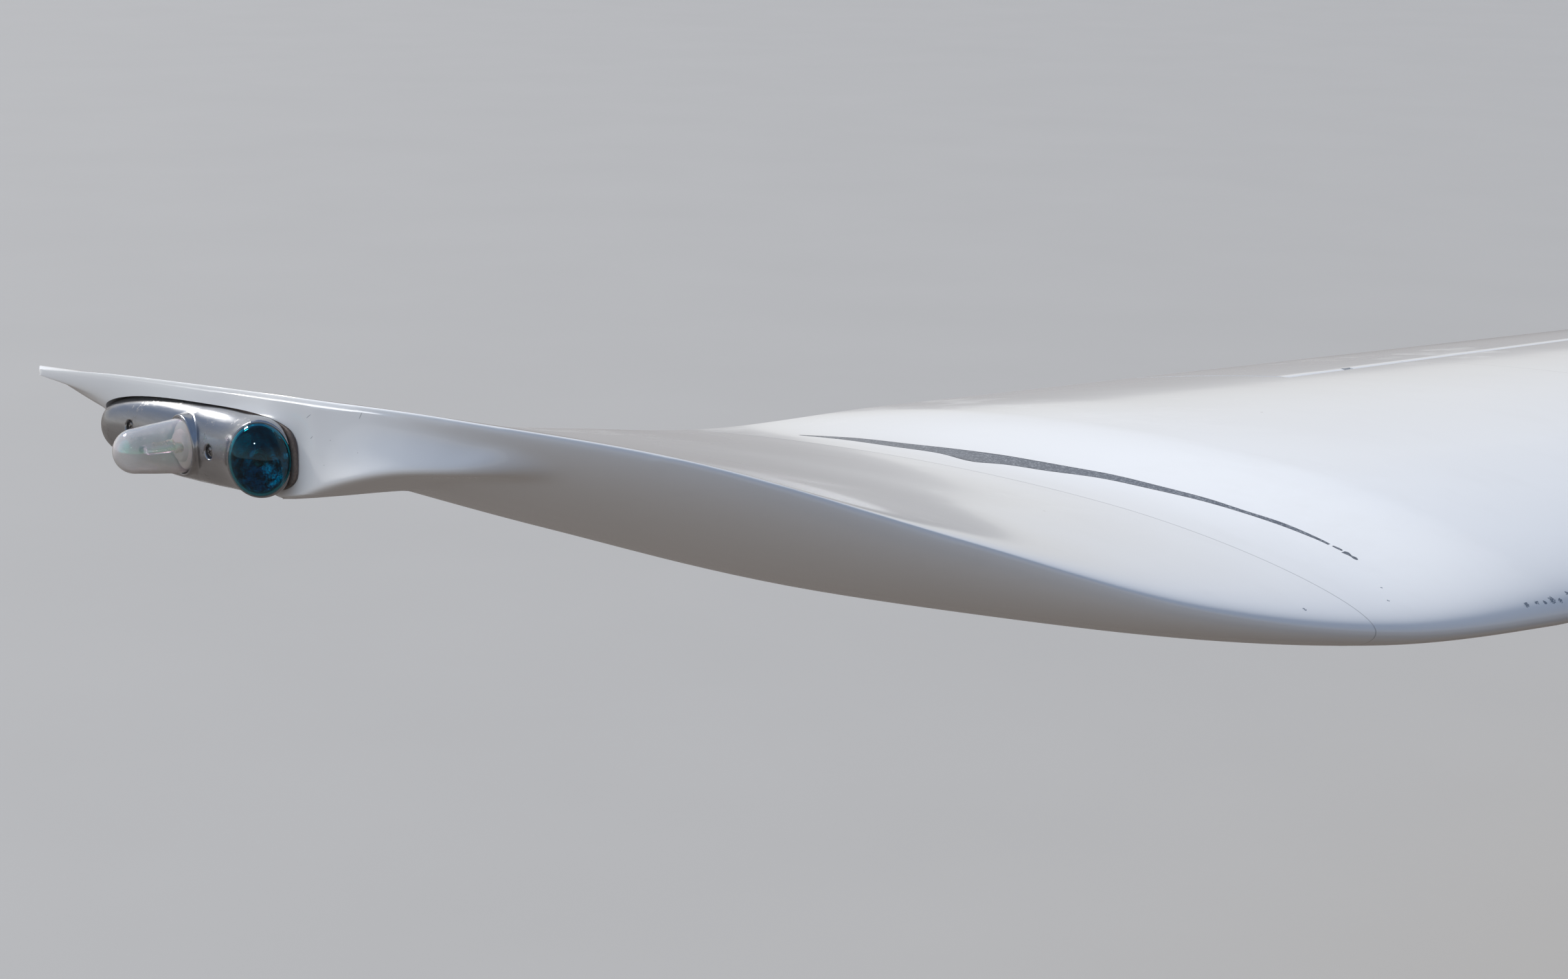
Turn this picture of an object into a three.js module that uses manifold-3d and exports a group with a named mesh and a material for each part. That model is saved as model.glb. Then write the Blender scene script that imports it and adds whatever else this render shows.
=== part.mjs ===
// Right wing panel of a single-engine light aircraft, from the root rib to the upswept tip with its light.
// Millimetres: X outboard, Y forward, Z up, origin on the root rib's face at the spar's centre line.
import * as THREE from 'three';
import Module from 'manifold-3d';
import { mergeVertices } from 'three/addons/utils/BufferGeometryUtils.js';

const wasm = await Module();
wasm.setup();

// Clearances
const SEAT_GAP = 0.3;          // between pieces that rest on each other
const COVE_GAP = 6;            // control surface's round nose to the wing's cove
const END_GAP = 7;             // control surface's ends to their neighbours
const FAR = 900;               // reach of a cutting tool past what it cuts

// Wing stations: where the nose edge and the tail edge lie, and the section between them.
// Columns: nose x, y, z, tail x, y, z, thickness, share of the thickness that hangs below, camber
const ROOT_STATION = [0, 400, -32, 0, -797, -49.5, 167, 0, 44.5];
const TIP_STATIONS = [
  [3860, 341.8, 195.4, 3860.0, -423.8, 240.3, 81.7, 0.00, 19.8],
  [4050, 315.4, 210.1, 4050.0, -442.4, 242.6, 68.8, 0.13, 13.7],
  [4240, 273.9, 252.3, 4240.0, -417.8, 272.9, 71.4, 0.35, 10.5],
  [4420, 209.9, 319.1, 4420.0, -394.1, 304.9, 77.1, 0.67, 6.8],
  [4600, 143.5, 388.3, 4586.0, -374.2, 342.3, 66.1, 0.90, 5.2],
  [4738, 66.9, 424.4, 4712.0, -362.4, 374.8, 47.6, 1.00, 5.1],
  [4786, -18.5, 430.6, 4768.0, -352.5, 391.1, 45.3, 1.00, 2.1],
  [4799, -113.3, 426.8, 4789.0, -342.0, 403.3, 36.4, 1.00, 0.3],
  [4807, -227.4, 419.6, 4803.0, -332.4, 409.1, 15.1, 1.00, -0.4],
  [4812, -318.0, 410.8, 4811.5, -320.5, 408.9, 3.5, 1.00, 0],
];
const TIP_JOINT = 1.15;        // place among the rows of TIP_STATIONS where the tip meets the panel
const PAD_ROW = 4;             // row of TIP_STATIONS from which the light's pad can reach
const THICKEST = 0.304;        // share of the chord ahead of the thickest point
const NOSE_POWER = 2.03;       // fullness of the nose's superellipse
const TAIL_POWER = 1.49;       // how soon the section thins towards its tail
const TAIL_THICK = 2.4;        // blunt tail edge

// Tip light, in a frame of its own: X outboard from the flat pad that it sits on, Y forward along it, Z up.
// The frame's origin lies where the light is highest; tilt raises its front, in degrees.
const LIGHT = { x: 4792, y: -138, z: 385.8, tilt: 2.6 };
const OUTLINE = { front: 101, back: 119, half: 27, frontPower: 3.7, backPower: 2.6 };
const GASKET_THICK = 2.5;
const PAD_MARGIN = 1.5;
// Ahead of the light the pad is a tongue that turns inboard with the tip's corner and runs out in the nose.
// Columns: y, height of its lower edge, height of its upper edge, how far inboard its lower edge has turned,
// how far its upper edge leans inboard of the lower one
const TONGUE = [
  [-62, 361, 440, 0, 0],
  [-22, 368, 440, 0.5, 5],
  [19, 380, 430, 6, 19],
  [39, 384, 420, 15, 21],
  [57, 386, 410, 28, 20],
  [70, 389, 400, 44, 13],
];
const HOUSING = { inset: 0.6, ridge: 20, rise: 8.3, fall: 3, tailRound: 26, barrelBack: 64 };
const LENS = { ahead: 83.4, out: 18, turn: 50, wide: 40.5, high: 49, dome: 14, rim: 0.9 };
const STROBE = {
  back: -0.5, sunk: 4, turn: -10, radius: 18.4, endRadius: 15, reach: 51, collar: 21, collarProud: 0.5,
};
// Columns: name, y, z in the light's frame
const LIGHT_SCREWS = [['light_screw_front', 35, 0], ['light_screw_rear', -66, 4.5]];
const SCREW = { head: 3.6, high: 2.4, recess: 4.8, deep: 4 };

// Control surfaces: hinge at a share of the chord, ends as distances from the root
const AILERON = { name: 'aileron', hinge: 0.78, from: 1760, to: 3400, brackets: [0.08, 0.5, 0.92] };
const FLAP = { name: 'flap', hinge: 0.735, from: 14, to: 1746, brackets: [0.08, 0.5, 0.92] };
const BRACKET_THICK = 8;
const BRACKET_SLOT = 19;
const PIN_RADIUS = 4;
const EYE_RADIUS = 10;
const HORN = { share: 0.56, thick: 6, reach: 62, tang: 12, neck: 6, front: 2, back: 30, eye: 9, hole: 3.5 };
const ROD = { radius: 5, entry: 150, rise: 24, beside: 8 };
const FAIRING = { halfWidth: 17, halfLength: 70, drop: 22, behind: 40 };
const FLAP_DRIVE = { back: 70, radius: 8, reach: 52 };

// Root fittings
const RIB_THICK = 8;
const STUB = {
  length: 930, rootHeight: 118, endHeight: 84, width: 62, inside: 60, web: 15, flange: 16, solidEnd: 60,
};
// Columns: name, x
const BUSHES = [['main_bush_inner', -250], ['main_bush_outer', -780]];
const BUSH = { outer: 18, bore: 11, proud: 4 };
// Columns: name, y, z, flange radius, flange thickness, pin radius, reach
const ROOT_PINS = [
  ['root_pin_front', 285, -6, 27, 6, 13, 46],
  ['root_pin_rear', -385, -4, 22, 6, 10, 42],
];
const CONTROL_ROD = { y: -110, z: 10, radius: 11, out: 70, inside: 90 };
const CONNECTOR = { y: 130, z: 4, flange: 46, thick: 4, radius: 16, reach: 20 };

// Underside
const TIE_DOWN = { x: 2960, y: 30, stud: 7, ring: 17, wire: 4, inside: 22 };
// Columns: name, x, y, radius
const COVERS = [['inspection_cover_inner', 1180, -190, 62], ['inspection_cover_outer', 2560, -150, 62]];
const COVER_THICK = 3;

const PAINT = { color: 0xe4e7ea, roughness: 0.25, metalness: 0 };
const GLASS_FIBRE = { color: 0xb9a878, roughness: 0.6, metalness: 0 };
const STEEL = { color: 0x8d9196, roughness: 0.35, metalness: 1 };
const CAST = { color: 0x9aa0a6, roughness: 0.3, metalness: 1 };
const RUBBER = { color: 0x6e6462, roughness: 0.8, metalness: 0 };
const GREEN_GLASS = { color: 0x04404c, roughness: 0.08, metalness: 0 };
const CLEAR_GLASS = { color: 0xd8dade, roughness: 0.05, metalness: 0 };

const wing = new THREE.Group();

function addPiece(name, geometry, finish) {
  const mesh = new THREE.Mesh(geometry, new THREE.MeshStandardMaterial(finish));
  mesh.name = name;
  wing.add(mesh);
  return mesh;
}

function toSolid(geometry) {
  const bare = geometry.clone();
  bare.deleteAttribute('normal');
  bare.deleteAttribute('uv');
  const merged = mergeVertices(bare, 1e-4);
  return new wasm.Manifold(new wasm.Mesh({
    numProp: 3,
    vertProperties: new Float32Array(merged.attributes.position.array),
    triVerts: new Uint32Array(merged.index.array),
  }));
}

function toGeometry(solid) {
  const mesh = solid.getMesh();
  const geometry = new THREE.BufferGeometry();
  geometry.setAttribute('position', new THREE.BufferAttribute(new Float32Array(mesh.vertProperties), 3));
  geometry.setIndex(new THREE.BufferAttribute(new Uint32Array(mesh.triVerts), 1));
  geometry.computeVertexNormals();
  return geometry;
}

// Closed skin over rings of equal length; each end is capped by strips between the ring's two halves.
function loft(rings) {
  const count = rings[0].length;
  const points = rings.flat();
  const index = [];
  for (let r = 0; r + 1 < rings.length; r += 1) {
    for (let i = 0; i < count; i += 1) {
      const a = r * count + i;
      const b = r * count + (i + 1) % count;
      index.push(a, b, b + count, a, b + count, a + count);
    }
  }
  const capEnd = (first, flip) => {
    for (let low = 0, high = count - 1; low + 1 < high; low += 1, high -= 1) {
      const faces = [[low, high, low + 1], [low + 1, high, high - 1]];
      for (const [a, b, c] of faces) {
        if (b === c || a === c) continue;
        index.push(...(flip ? [first + a, first + c, first + b] : [first + a, first + b, first + c]));
      }
    }
  };
  capEnd(0, false);
  capEnd((rings.length - 1) * count, true);
  const geometry = new THREE.BufferGeometry();
  geometry.setAttribute('position', new THREE.Float32BufferAttribute(points.flatMap((p) => p.toArray()), 3));
  geometry.setIndex(index);
  return faceOutwards(geometry);
}

function faceOutwards(geometry) {
  const p = geometry.attributes.position;
  const index = geometry.index.array;
  const [a, b, c] = [new THREE.Vector3(), new THREE.Vector3(), new THREE.Vector3()];
  let volume = 0;
  for (let i = 0; i < index.length; i += 3) {
    a.fromBufferAttribute(p, index[i]);
    b.fromBufferAttribute(p, index[i + 1]);
    c.fromBufferAttribute(p, index[i + 2]);
    volume += a.dot(b.cross(c));
  }
  if (volume < 0) {
    for (let i = 0; i < index.length; i += 3) {
      [index[i + 1], index[i + 2]] = [index[i + 2], index[i + 1]];
    }
  }
  geometry.computeVertexNormals();
  return geometry;
}

const mixRows = (a, b, share) => a.map((value, i) => value + (b[i] - value) * share);

// Straight taper from the root to the first tip station.
const panelStation = (x) => mixRows(ROOT_STATION, TIP_STATIONS[0], x / TIP_STATIONS[0][0]);

// Smooth curve through the tip stations; t counts rows.
function tipStation(t) {
  const rows = TIP_STATIONS;
  const last = rows.length - 1;
  const k = Math.min(Math.floor(t), last - 1);
  const f = t - k;
  const before = k > 0 ? rows[k - 1] : panelStation(2 * rows[0][0] - rows[1][0]);
  const after = k + 2 <= last ? rows[k + 2] : mixRows(rows[last - 1], rows[last], 2);
  return rows[k].map((p1, i) => {
    const [p0, p2, p3] = [before[i], rows[k + 1][i], after[i]];
    return p1 + 0.5 * f * (p2 - p0 + f * (2 * p0 - 5 * p1 + 4 * p2 - p3 + f * (3 * (p1 - p2) + p3 - p0)));
  });
}

// Half thickness over the chord, 0.5 at the thickest point.
function halfThickness(u) {
  if (u < THICKEST) {
    return 0.5 * (1 - (1 - u / THICKEST) ** NOSE_POWER) ** (1 / NOSE_POWER);
  }
  return 0.5 * (1 - ((u - THICKEST) / (1 - THICKEST)) ** TAIL_POWER);
}

// A point of the section: u runs from nose to tail, side is 1 on top and -1 below.
function sectionPoint(station, u, side) {
  const [nx, ny, nz, tx, ty, tz, thick, below, camber] = station;
  const mean = nz + (tz - nz) * u + camber * 4 * u * (1 - u);
  const share = side > 0 ? 1 - below : 1 + below;
  const z = mean + side * (thick * share * halfThickness(u) + 0.5 * TAIL_THICK * u);
  return new THREE.Vector3(nx + (tx - nx) * u, ny + (ty - ny) * u, z);
}

function sectionRing(station, steps) {
  const ring = [];
  for (let i = steps; i >= 0; i -= 1) {
    ring.push(sectionPoint(station, (1 - Math.cos(Math.PI * i / steps)) / 2, 1));
  }
  for (let i = 1; i <= steps; i += 1) {
    ring.push(sectionPoint(station, (1 - Math.cos(Math.PI * i / steps)) / 2, -1));
  }
  return ring;
}

const PANEL_STEPS = 26;
const TIP_STEPS = 34;

// Hinge line through the middle of the section; radius is half the section's height there.
function hingeAt(surface, x) {
  const station = panelStation(x);
  const top = sectionPoint(station, surface.hinge, 1);
  const low = sectionPoint(station, surface.hinge, -1);
  return { centre: top.clone().add(low).multiplyScalar(0.5), radius: (top.z - low.z) / 2 };
}

// Local frame of a hinge: X along it, Y forward, Z up, square to it.
function hingeFrame(surface) {
  const from = hingeAt(surface, surface.from);
  const to = hingeAt(surface, surface.to);
  const along = to.centre.clone().sub(from.centre);
  const length = along.length();
  along.normalize();
  const up = new THREE.Vector3(0, 0, 1).addScaledVector(along, -along.z).normalize();
  const forward = up.clone().cross(along);
  const matrix = new THREE.Matrix4().makeBasis(along, forward, up).setPosition(from.centre);
  const radiusAt = (a) => from.radius + (to.radius - from.radius) * a / length;
  return { matrix, length, radiusAt };
}

// Solid between two outlines in planes square to the hinge, at distances a0 and a1 along it.
function alongHinge(frame, a0, a1, outlineAt) {
  const flat = outlineAt(frame.radiusAt(a0)).map(([y, z]) => new THREE.Vector2(y, z));
  const turned = THREE.ShapeUtils.isClockWise(flat);
  if (turned) flat.reverse();
  const ring = (a) => {
    const outline = outlineAt(frame.radiusAt(a));
    if (turned) outline.reverse();
    return outline.map(([y, z]) => new THREE.Vector3(a, y, z).applyMatrix4(frame.matrix));
  };
  const faces = THREE.ShapeUtils.triangulateShape(flat, []);
  const count = flat.length;
  const points = [...ring(a0), ...ring(a1)];
  const index = [];
  for (const [a, b, c] of faces) index.push(a, b, c, count + a, count + c, count + b);
  for (let i = 0; i < count; i += 1) {
    const j = (i + 1) % count;
    index.push(i, count + j, j, i, count + i, count + j);
  }
  const geometry = new THREE.BufferGeometry();
  geometry.setAttribute('position', new THREE.Float32BufferAttribute(points.flatMap((p) => p.toArray()), 3));
  geometry.setIndex(index);
  return faceOutwards(geometry);
}

function arc(radius, fromDegrees, toDegrees, steps) {
  const points = [];
  for (let i = 0; i <= steps; i += 1) {
    const angle = THREE.MathUtils.degToRad(fromDegrees + (toDegrees - fromDegrees) * i / steps);
    points.push([radius * Math.cos(angle), radius * Math.sin(angle)]);
  }
  return points;
}

// Everything aft of the hinge, with the round cove ahead of it.
function coveOutline(radius) {
  return [...arc(radius + COVE_GAP, 90, -90, 20),
    [0, -FAR / 4], [-FAR, -FAR / 4], [-FAR, FAR / 4], [0, FAR / 4]];
}

function coveCutter(surface) {
  const frame = hingeFrame(surface);
  return toSolid(alongHinge(frame, 0, frame.length, coveOutline));
}

// The control surface: round nose about the hinge, then the wing's own section to the tail.
function surfaceRing(surface, x) {
  const station = panelStation(x);
  const { centre, radius } = hingeAt(surface, x);
  const chordSteps = 9;
  const share = (i) => surface.hinge + (1 - surface.hinge) * i / chordSteps;
  const ring = [];
  for (let i = chordSteps; i >= 1; i -= 1) ring.push(sectionPoint(station, share(i), 1));
  for (const [y, z] of arc(radius, 90, -90, 12)) ring.push(new THREE.Vector3(x, centre.y + y, centre.z + z));
  for (let i = 1; i <= chordSteps; i += 1) ring.push(sectionPoint(station, share(i), -1));
  return ring;
}

// Plate from the cove's wall to an eye on the hinge.
function bracketOutline(reach) {
  return [...arc(EYE_RADIUS, 100, 260, 10), ...arc(reach, -14, 14, 4)];
}

// Notch through the round nose, so that the bracket clears it at every angle.
function slotOutline() {
  return [...arc(EYE_RADIUS + 7, 90, 270, 12), [0, -FAR / 6], [FAR / 3, -FAR / 6],
    [FAR / 3, FAR / 6], [0, FAR / 6]];
}

function surfaceSolid(surface, frame) {
  const body = toSolid(loft([surfaceRing(surface, surface.from - 60), surfaceRing(surface, surface.to + 60)]));
  const square = () => [[-FAR, -FAR / 4], [FAR / 2, -FAR / 4], [FAR / 2, FAR / 4], [-FAR, FAR / 4]];
  const trim = toSolid(alongHinge(frame, END_GAP, frame.length - END_GAP, square));
  let solid = body.intersect(trim);
  for (const share of surface.brackets) {
    const middle = frame.length * share;
    solid = solid.subtract(toSolid(alongHinge(frame, middle - BRACKET_SLOT / 2, middle + BRACKET_SLOT / 2,
      slotOutline)));
  }
  return solid;
}

function makeHinge(surface, frame, share, number) {
  const middle = frame.length * share;
  const plate = alongHinge(frame, middle - BRACKET_THICK / 2, middle + BRACKET_THICK / 2,
    (radius) => bracketOutline(radius + COVE_GAP - SEAT_GAP));
  const bore = alongHinge(frame, middle - BRACKET_THICK, middle + BRACKET_THICK,
    () => arc(PIN_RADIUS + 0.4, 0, 345, 23));
  addPiece(`${surface.name}_bracket_${number}`, toGeometry(toSolid(plate).subtract(toSolid(bore))), STEEL);
  const half = BRACKET_SLOT / 2 - SEAT_GAP;
  const pin = alongHinge(frame, middle - half, middle + half, () => arc(PIN_RADIUS, 0, 345, 23));
  addPiece(`${surface.name}_pin_${number}`, pin, STEEL);
}

const lightFrame = new THREE.Matrix4().makeRotationX(THREE.MathUtils.degToRad(LIGHT.tilt))
  .setPosition(LIGHT.x, LIGHT.y, LIGHT.z);

function tongueAt(y) {
  const last = TONGUE.length - 1;
  if (y >= TONGUE[last][0]) return TONGUE[last];
  const k = Math.max(0, TONGUE.findIndex((row) => row[0] > y) - 1);
  return mixRows(TONGUE[k], TONGUE[k + 1], (y - TONGUE[k][0]) / (TONGUE[k + 1][0] - TONGUE[k][0]));
}

// How far outboard the light's pad stands at a height and a place along the tip.
function padReach(y, z) {
  const along = y - LIGHT.y;
  const axis = LIGHT.z + along * Math.tan(THREE.MathUtils.degToRad(LIGHT.tilt));
  const [end] = TONGUE[TONGUE.length - 1];
  const [, low, high, inboard, lean] = y < TONGUE[0][0]
    ? [y, axis - outlineHalf(Math.max(along, HOUSING.tailRound - OUTLINE.back)) - PAD_MARGIN, TONGUE[0][2], 0, 0]
    : tongueAt(y);
  const beyond = Math.max(0, (y - end) / 2, (-OUTLINE.back - PAD_MARGIN - along) / 2);
  const away = Math.hypot(Math.max(0, low - z, z - high), beyond);
  const leaning = lean * THREE.MathUtils.clamp((z - low) / (high - low), 0, 1);
  return LIGHT.x + 1 - inboard - leaning - away * away;
}

function onPad(point) {
  const soft = 3;
  const lift = (padReach(point.y, point.z) - point.x) / soft;
  const moved = point.clone();
  if (lift > -12) moved.x += soft * (lift > 12 ? lift : Math.log1p(Math.exp(lift)));
  return moved;
}

function makeTip() {
  const last = TIP_STATIONS.length - 1;
  const places = [TIP_JOINT];
  for (let row = Math.floor(TIP_JOINT); row < last; row += 1) {
    const steps = row < PAD_ROW ? 3 : 6;
    for (let i = 0; i < steps; i += 1) {
      const place = row + i / steps;
      if (place > TIP_JOINT) places.push(place);
    }
  }
  const rings = [...places, last].map((place) => {
    const ring = sectionRing(tipStation(place), TIP_STEPS);
    return place < PAD_ROW ? ring : ring.map((p, k) => (k > TIP_STEPS ? onPad(p) : p));
  });
  rings[0].forEach((p) => { p.x += SEAT_GAP / 2; });
  const seat = lightPlate(2 * SEAT_GAP, 0, FAR / 4);
  return toSolid(loft(rings)).subtract(toSolid(seat));
}

function makePanel() {
  const rings = [sectionRing(panelStation(RIB_THICK + SEAT_GAP), PANEL_STEPS)];
  for (const t of [0, 0.33, 0.67, 1]) rings.push(sectionRing(tipStation(t * TIP_JOINT), PANEL_STEPS));
  rings[rings.length - 1].forEach((p) => { p.x -= SEAT_GAP / 2; });
  return toSolid(loft(rings)).subtract(coveCutter(AILERON)).subtract(coveCutter(FLAP));
}

function boxSolid(x0, x1, y0, y1, z0, z1) {
  const geometry = new THREE.BoxGeometry(x1 - x0, y1 - y0, z1 - z0);
  geometry.translate((x0 + x1) / 2, (y0 + y1) / 2, (z0 + z1) / 2);
  return toSolid(geometry);
}

function rodAlongX(x0, x1, y, z, radius, sides = 24) {
  const geometry = new THREE.CylinderGeometry(radius, radius, x1 - x0, sides);
  geometry.rotateZ(Math.PI / 2);
  geometry.translate((x0 + x1) / 2, y, z);
  return toSolid(geometry);
}

function rodAlongY(x, y0, y1, z, radius, sides = 24) {
  const geometry = new THREE.CylinderGeometry(radius, radius, y1 - y0, sides);
  geometry.translate(x, (y0 + y1) / 2, z);
  return toSolid(geometry);
}

function rodBetween(from, to, radius, sides = 16) {
  const along = to.clone().sub(from);
  const geometry = new THREE.CylinderGeometry(radius, radius, along.length(), sides);
  const turn = new THREE.Quaternion().setFromUnitVectors(new THREE.Vector3(0, 1, 0), along.clone().normalize());
  geometry.applyQuaternion(turn);
  geometry.translate(...from.clone().add(to).multiplyScalar(0.5).toArray());
  return toSolid(geometry);
}

// Half the light's height at a place along it.
function outlineHalf(y) {
  const [reach, power] = y > 0 ? [OUTLINE.front, OUTLINE.frontPower] : [OUTLINE.back, OUTLINE.backPower];
  return OUTLINE.half * Math.max(0, 1 - (Math.abs(y) / reach) ** power) ** (1 / power);
}

// Flat plate of the light's outline, from one distance off the pad to another.
function lightPlate(grow, x0, x1) {
  const middle = (OUTLINE.front - OUTLINE.back) / 2;
  const reach = (OUTLINE.front + OUTLINE.back) / 2;
  const steps = 30;
  const upper = [];
  for (let i = 1; i < steps; i += 1) {
    const y = middle + reach * Math.cos(Math.PI * i / steps);
    upper.push(new THREE.Vector2(y * (1 + grow / reach), outlineHalf(y) + grow));
  }
  const lower = upper.map((p) => new THREE.Vector2(p.x, -p.y)).reverse();
  const ends = [new THREE.Vector2(OUTLINE.front + grow, 0), new THREE.Vector2(-OUTLINE.back - grow, 0)];
  const shape = new THREE.Shape([ends[0], ...upper, ends[1], ...lower]);
  const geometry = new THREE.ExtrudeGeometry(shape, { depth: x1 - x0, bevelEnabled: false });
  const place = new THREE.Matrix4().set(0, 0, 1, x0, 1, 0, 0, 0, 0, 1, 0, 0, 0, 0, 0, 1);
  return geometry.applyMatrix4(place.premultiply(lightFrame));
}

const LIGHT_BASE = SEAT_GAP + GASKET_THICK + SEAT_GAP;

// Height of the housing's ridge above its base.
function ridgeAt(y) {
  return y > 0 ? HOUSING.ridge + HOUSING.rise * (y / HOUSING.barrelBack) ** 2
    : HOUSING.ridge + HOUSING.fall * y / OUTLINE.back;
}

// Body of the cast housing: D-shaped sections that round off at the tail.
function housingBody() {
  const rings = [];
  const sections = 18;
  const tail = -OUTLINE.back + HOUSING.inset;
  for (let i = 0; i <= sections; i += 1) {
    const y = tail + (HOUSING.barrelBack - tail) * (1 - Math.cos(Math.PI * i / sections / 2)) + 0.2;
    const round = Math.min(1, (y - tail) / HOUSING.tailRound);
    const proud = ridgeAt(y) * Math.sqrt(1 - (1 - round) ** 2);
    const half = Math.max(0.8, outlineHalf(y) - HOUSING.inset);
    rings.push(arc(1, -90, 90, 18).map(([c, z]) => new THREE.Vector3(
      LIGHT_BASE + proud * Math.abs(c) ** 0.85, y, half * z)));
  }
  return toSolid(loft(rings));
}

// Frame on the slanted front face of the housing, with X along the lens's axis.
function lensFrame() {
  return new THREE.Matrix4().makeRotationZ(THREE.MathUtils.degToRad(LENS.turn))
    .setPosition(LENS.out, LENS.ahead, 0);
}

function strobeFrame() {
  return new THREE.Matrix4().makeRotationZ(THREE.MathUtils.degToRad(STROBE.turn))
    .setPosition(LIGHT_BASE + HOUSING.ridge - STROBE.sunk, -STROBE.back, 0);
}

// Round bar along a frame's X axis.
function barOn(frame, x0, x1, radiusY, radiusZ, sides = 32) {
  const geometry = new THREE.CylinderGeometry(1, 1, x1 - x0, sides);
  geometry.rotateZ(-Math.PI / 2);
  geometry.scale(1, radiusY, radiusZ);
  geometry.translate((x0 + x1) / 2, 0, 0);
  return toSolid(geometry.applyMatrix4(frame));
}

function strobeGlass() {
  const straight = STROBE.reach - STROBE.endRadius;
  const profile = [[0, 0], [STROBE.radius, 0], [STROBE.radius, STROBE.sunk + 2]];
  for (let i = 0; i < 7; i += 1) {
    const angle = Math.PI / 2 * i / 7;
    profile.push([STROBE.endRadius * Math.cos(angle), straight + STROBE.endRadius * Math.sin(angle)]);
  }
  profile.push([0, STROBE.reach]);
  const glass = new THREE.LatheGeometry(profile.map(([r, h]) => new THREE.Vector2(r, h)), 28);
  glass.rotateZ(-Math.PI / 2);
  return toSolid(faceOutwards(glass.applyMatrix4(strobeFrame())));
}

function screwHead(frame) {
  const profile = [[0, 0], [SCREW.head, 0], [SCREW.head, SCREW.high / 2], [SCREW.head * 0.7, SCREW.high * 0.85],
    [0, SCREW.high]];
  const head = new THREE.LatheGeometry(profile.map(([r, h]) => new THREE.Vector2(r, h)), 16);
  head.rotateZ(-Math.PI / 2);
  return toSolid(faceOutwards(head.applyMatrix4(frame)));
}

function makeLight() {
  const outboard = boxSolid(LIGHT_BASE, FAR, -FAR, FAR, -FAR, FAR);
  const place = (name, solid, finish) => addPiece(name, toGeometry(solid).applyMatrix4(lightFrame), finish);
  const lensSeat = lensFrame();
  const strobeSeat = strobeFrame();
  const [halfWide, halfHigh] = [LENS.wide / 2, LENS.high / 2];
  const barrel = barOn(lensSeat, -FAR / 10, 0, halfWide + LENS.rim, halfHigh + LENS.rim, 48).intersect(outboard);
  const collar = barOn(strobeSeat, -STROBE.sunk, STROBE.sunk + STROBE.collarProud, STROBE.collar, STROBE.collar);
  const cup = barOn(strobeSeat, -SEAT_GAP, FAR / 10, STROBE.radius + SEAT_GAP, STROBE.radius + SEAT_GAP);
  let housing = housingBody().add(barrel).add(collar.intersect(outboard)).subtract(cup);
  for (const [name, y, z] of LIGHT_SCREWS) {
    const foot = LIGHT_BASE + ridgeAt(y) - SCREW.deep;
    const seat = new THREE.Matrix4().setPosition(foot, y, z);
    housing = housing.subtract(barOn(seat, -SEAT_GAP, FAR / 10, SCREW.recess, SCREW.recess, 20));
    place(name, screwHead(seat), STEEL);
  }
  const ahead = new THREE.BoxGeometry(FAR, FAR, FAR).translate(FAR / 2 + SEAT_GAP, 0, 0);
  const dome = new THREE.SphereGeometry(1, 32, 20).scale(LENS.dome, halfWide, halfHigh);
  const lens = toSolid(dome.applyMatrix4(lensSeat)).intersect(toSolid(ahead.applyMatrix4(lensSeat)));
  addPiece('light_gasket', lightPlate(0, SEAT_GAP, SEAT_GAP + GASKET_THICK), RUBBER);
  place('light_housing', housing, CAST);
  place('green_lens', lens.intersect(outboard), GREEN_GLASS);
  place('strobe_dome', strobeGlass(), CLEAR_GLASS);
}

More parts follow.
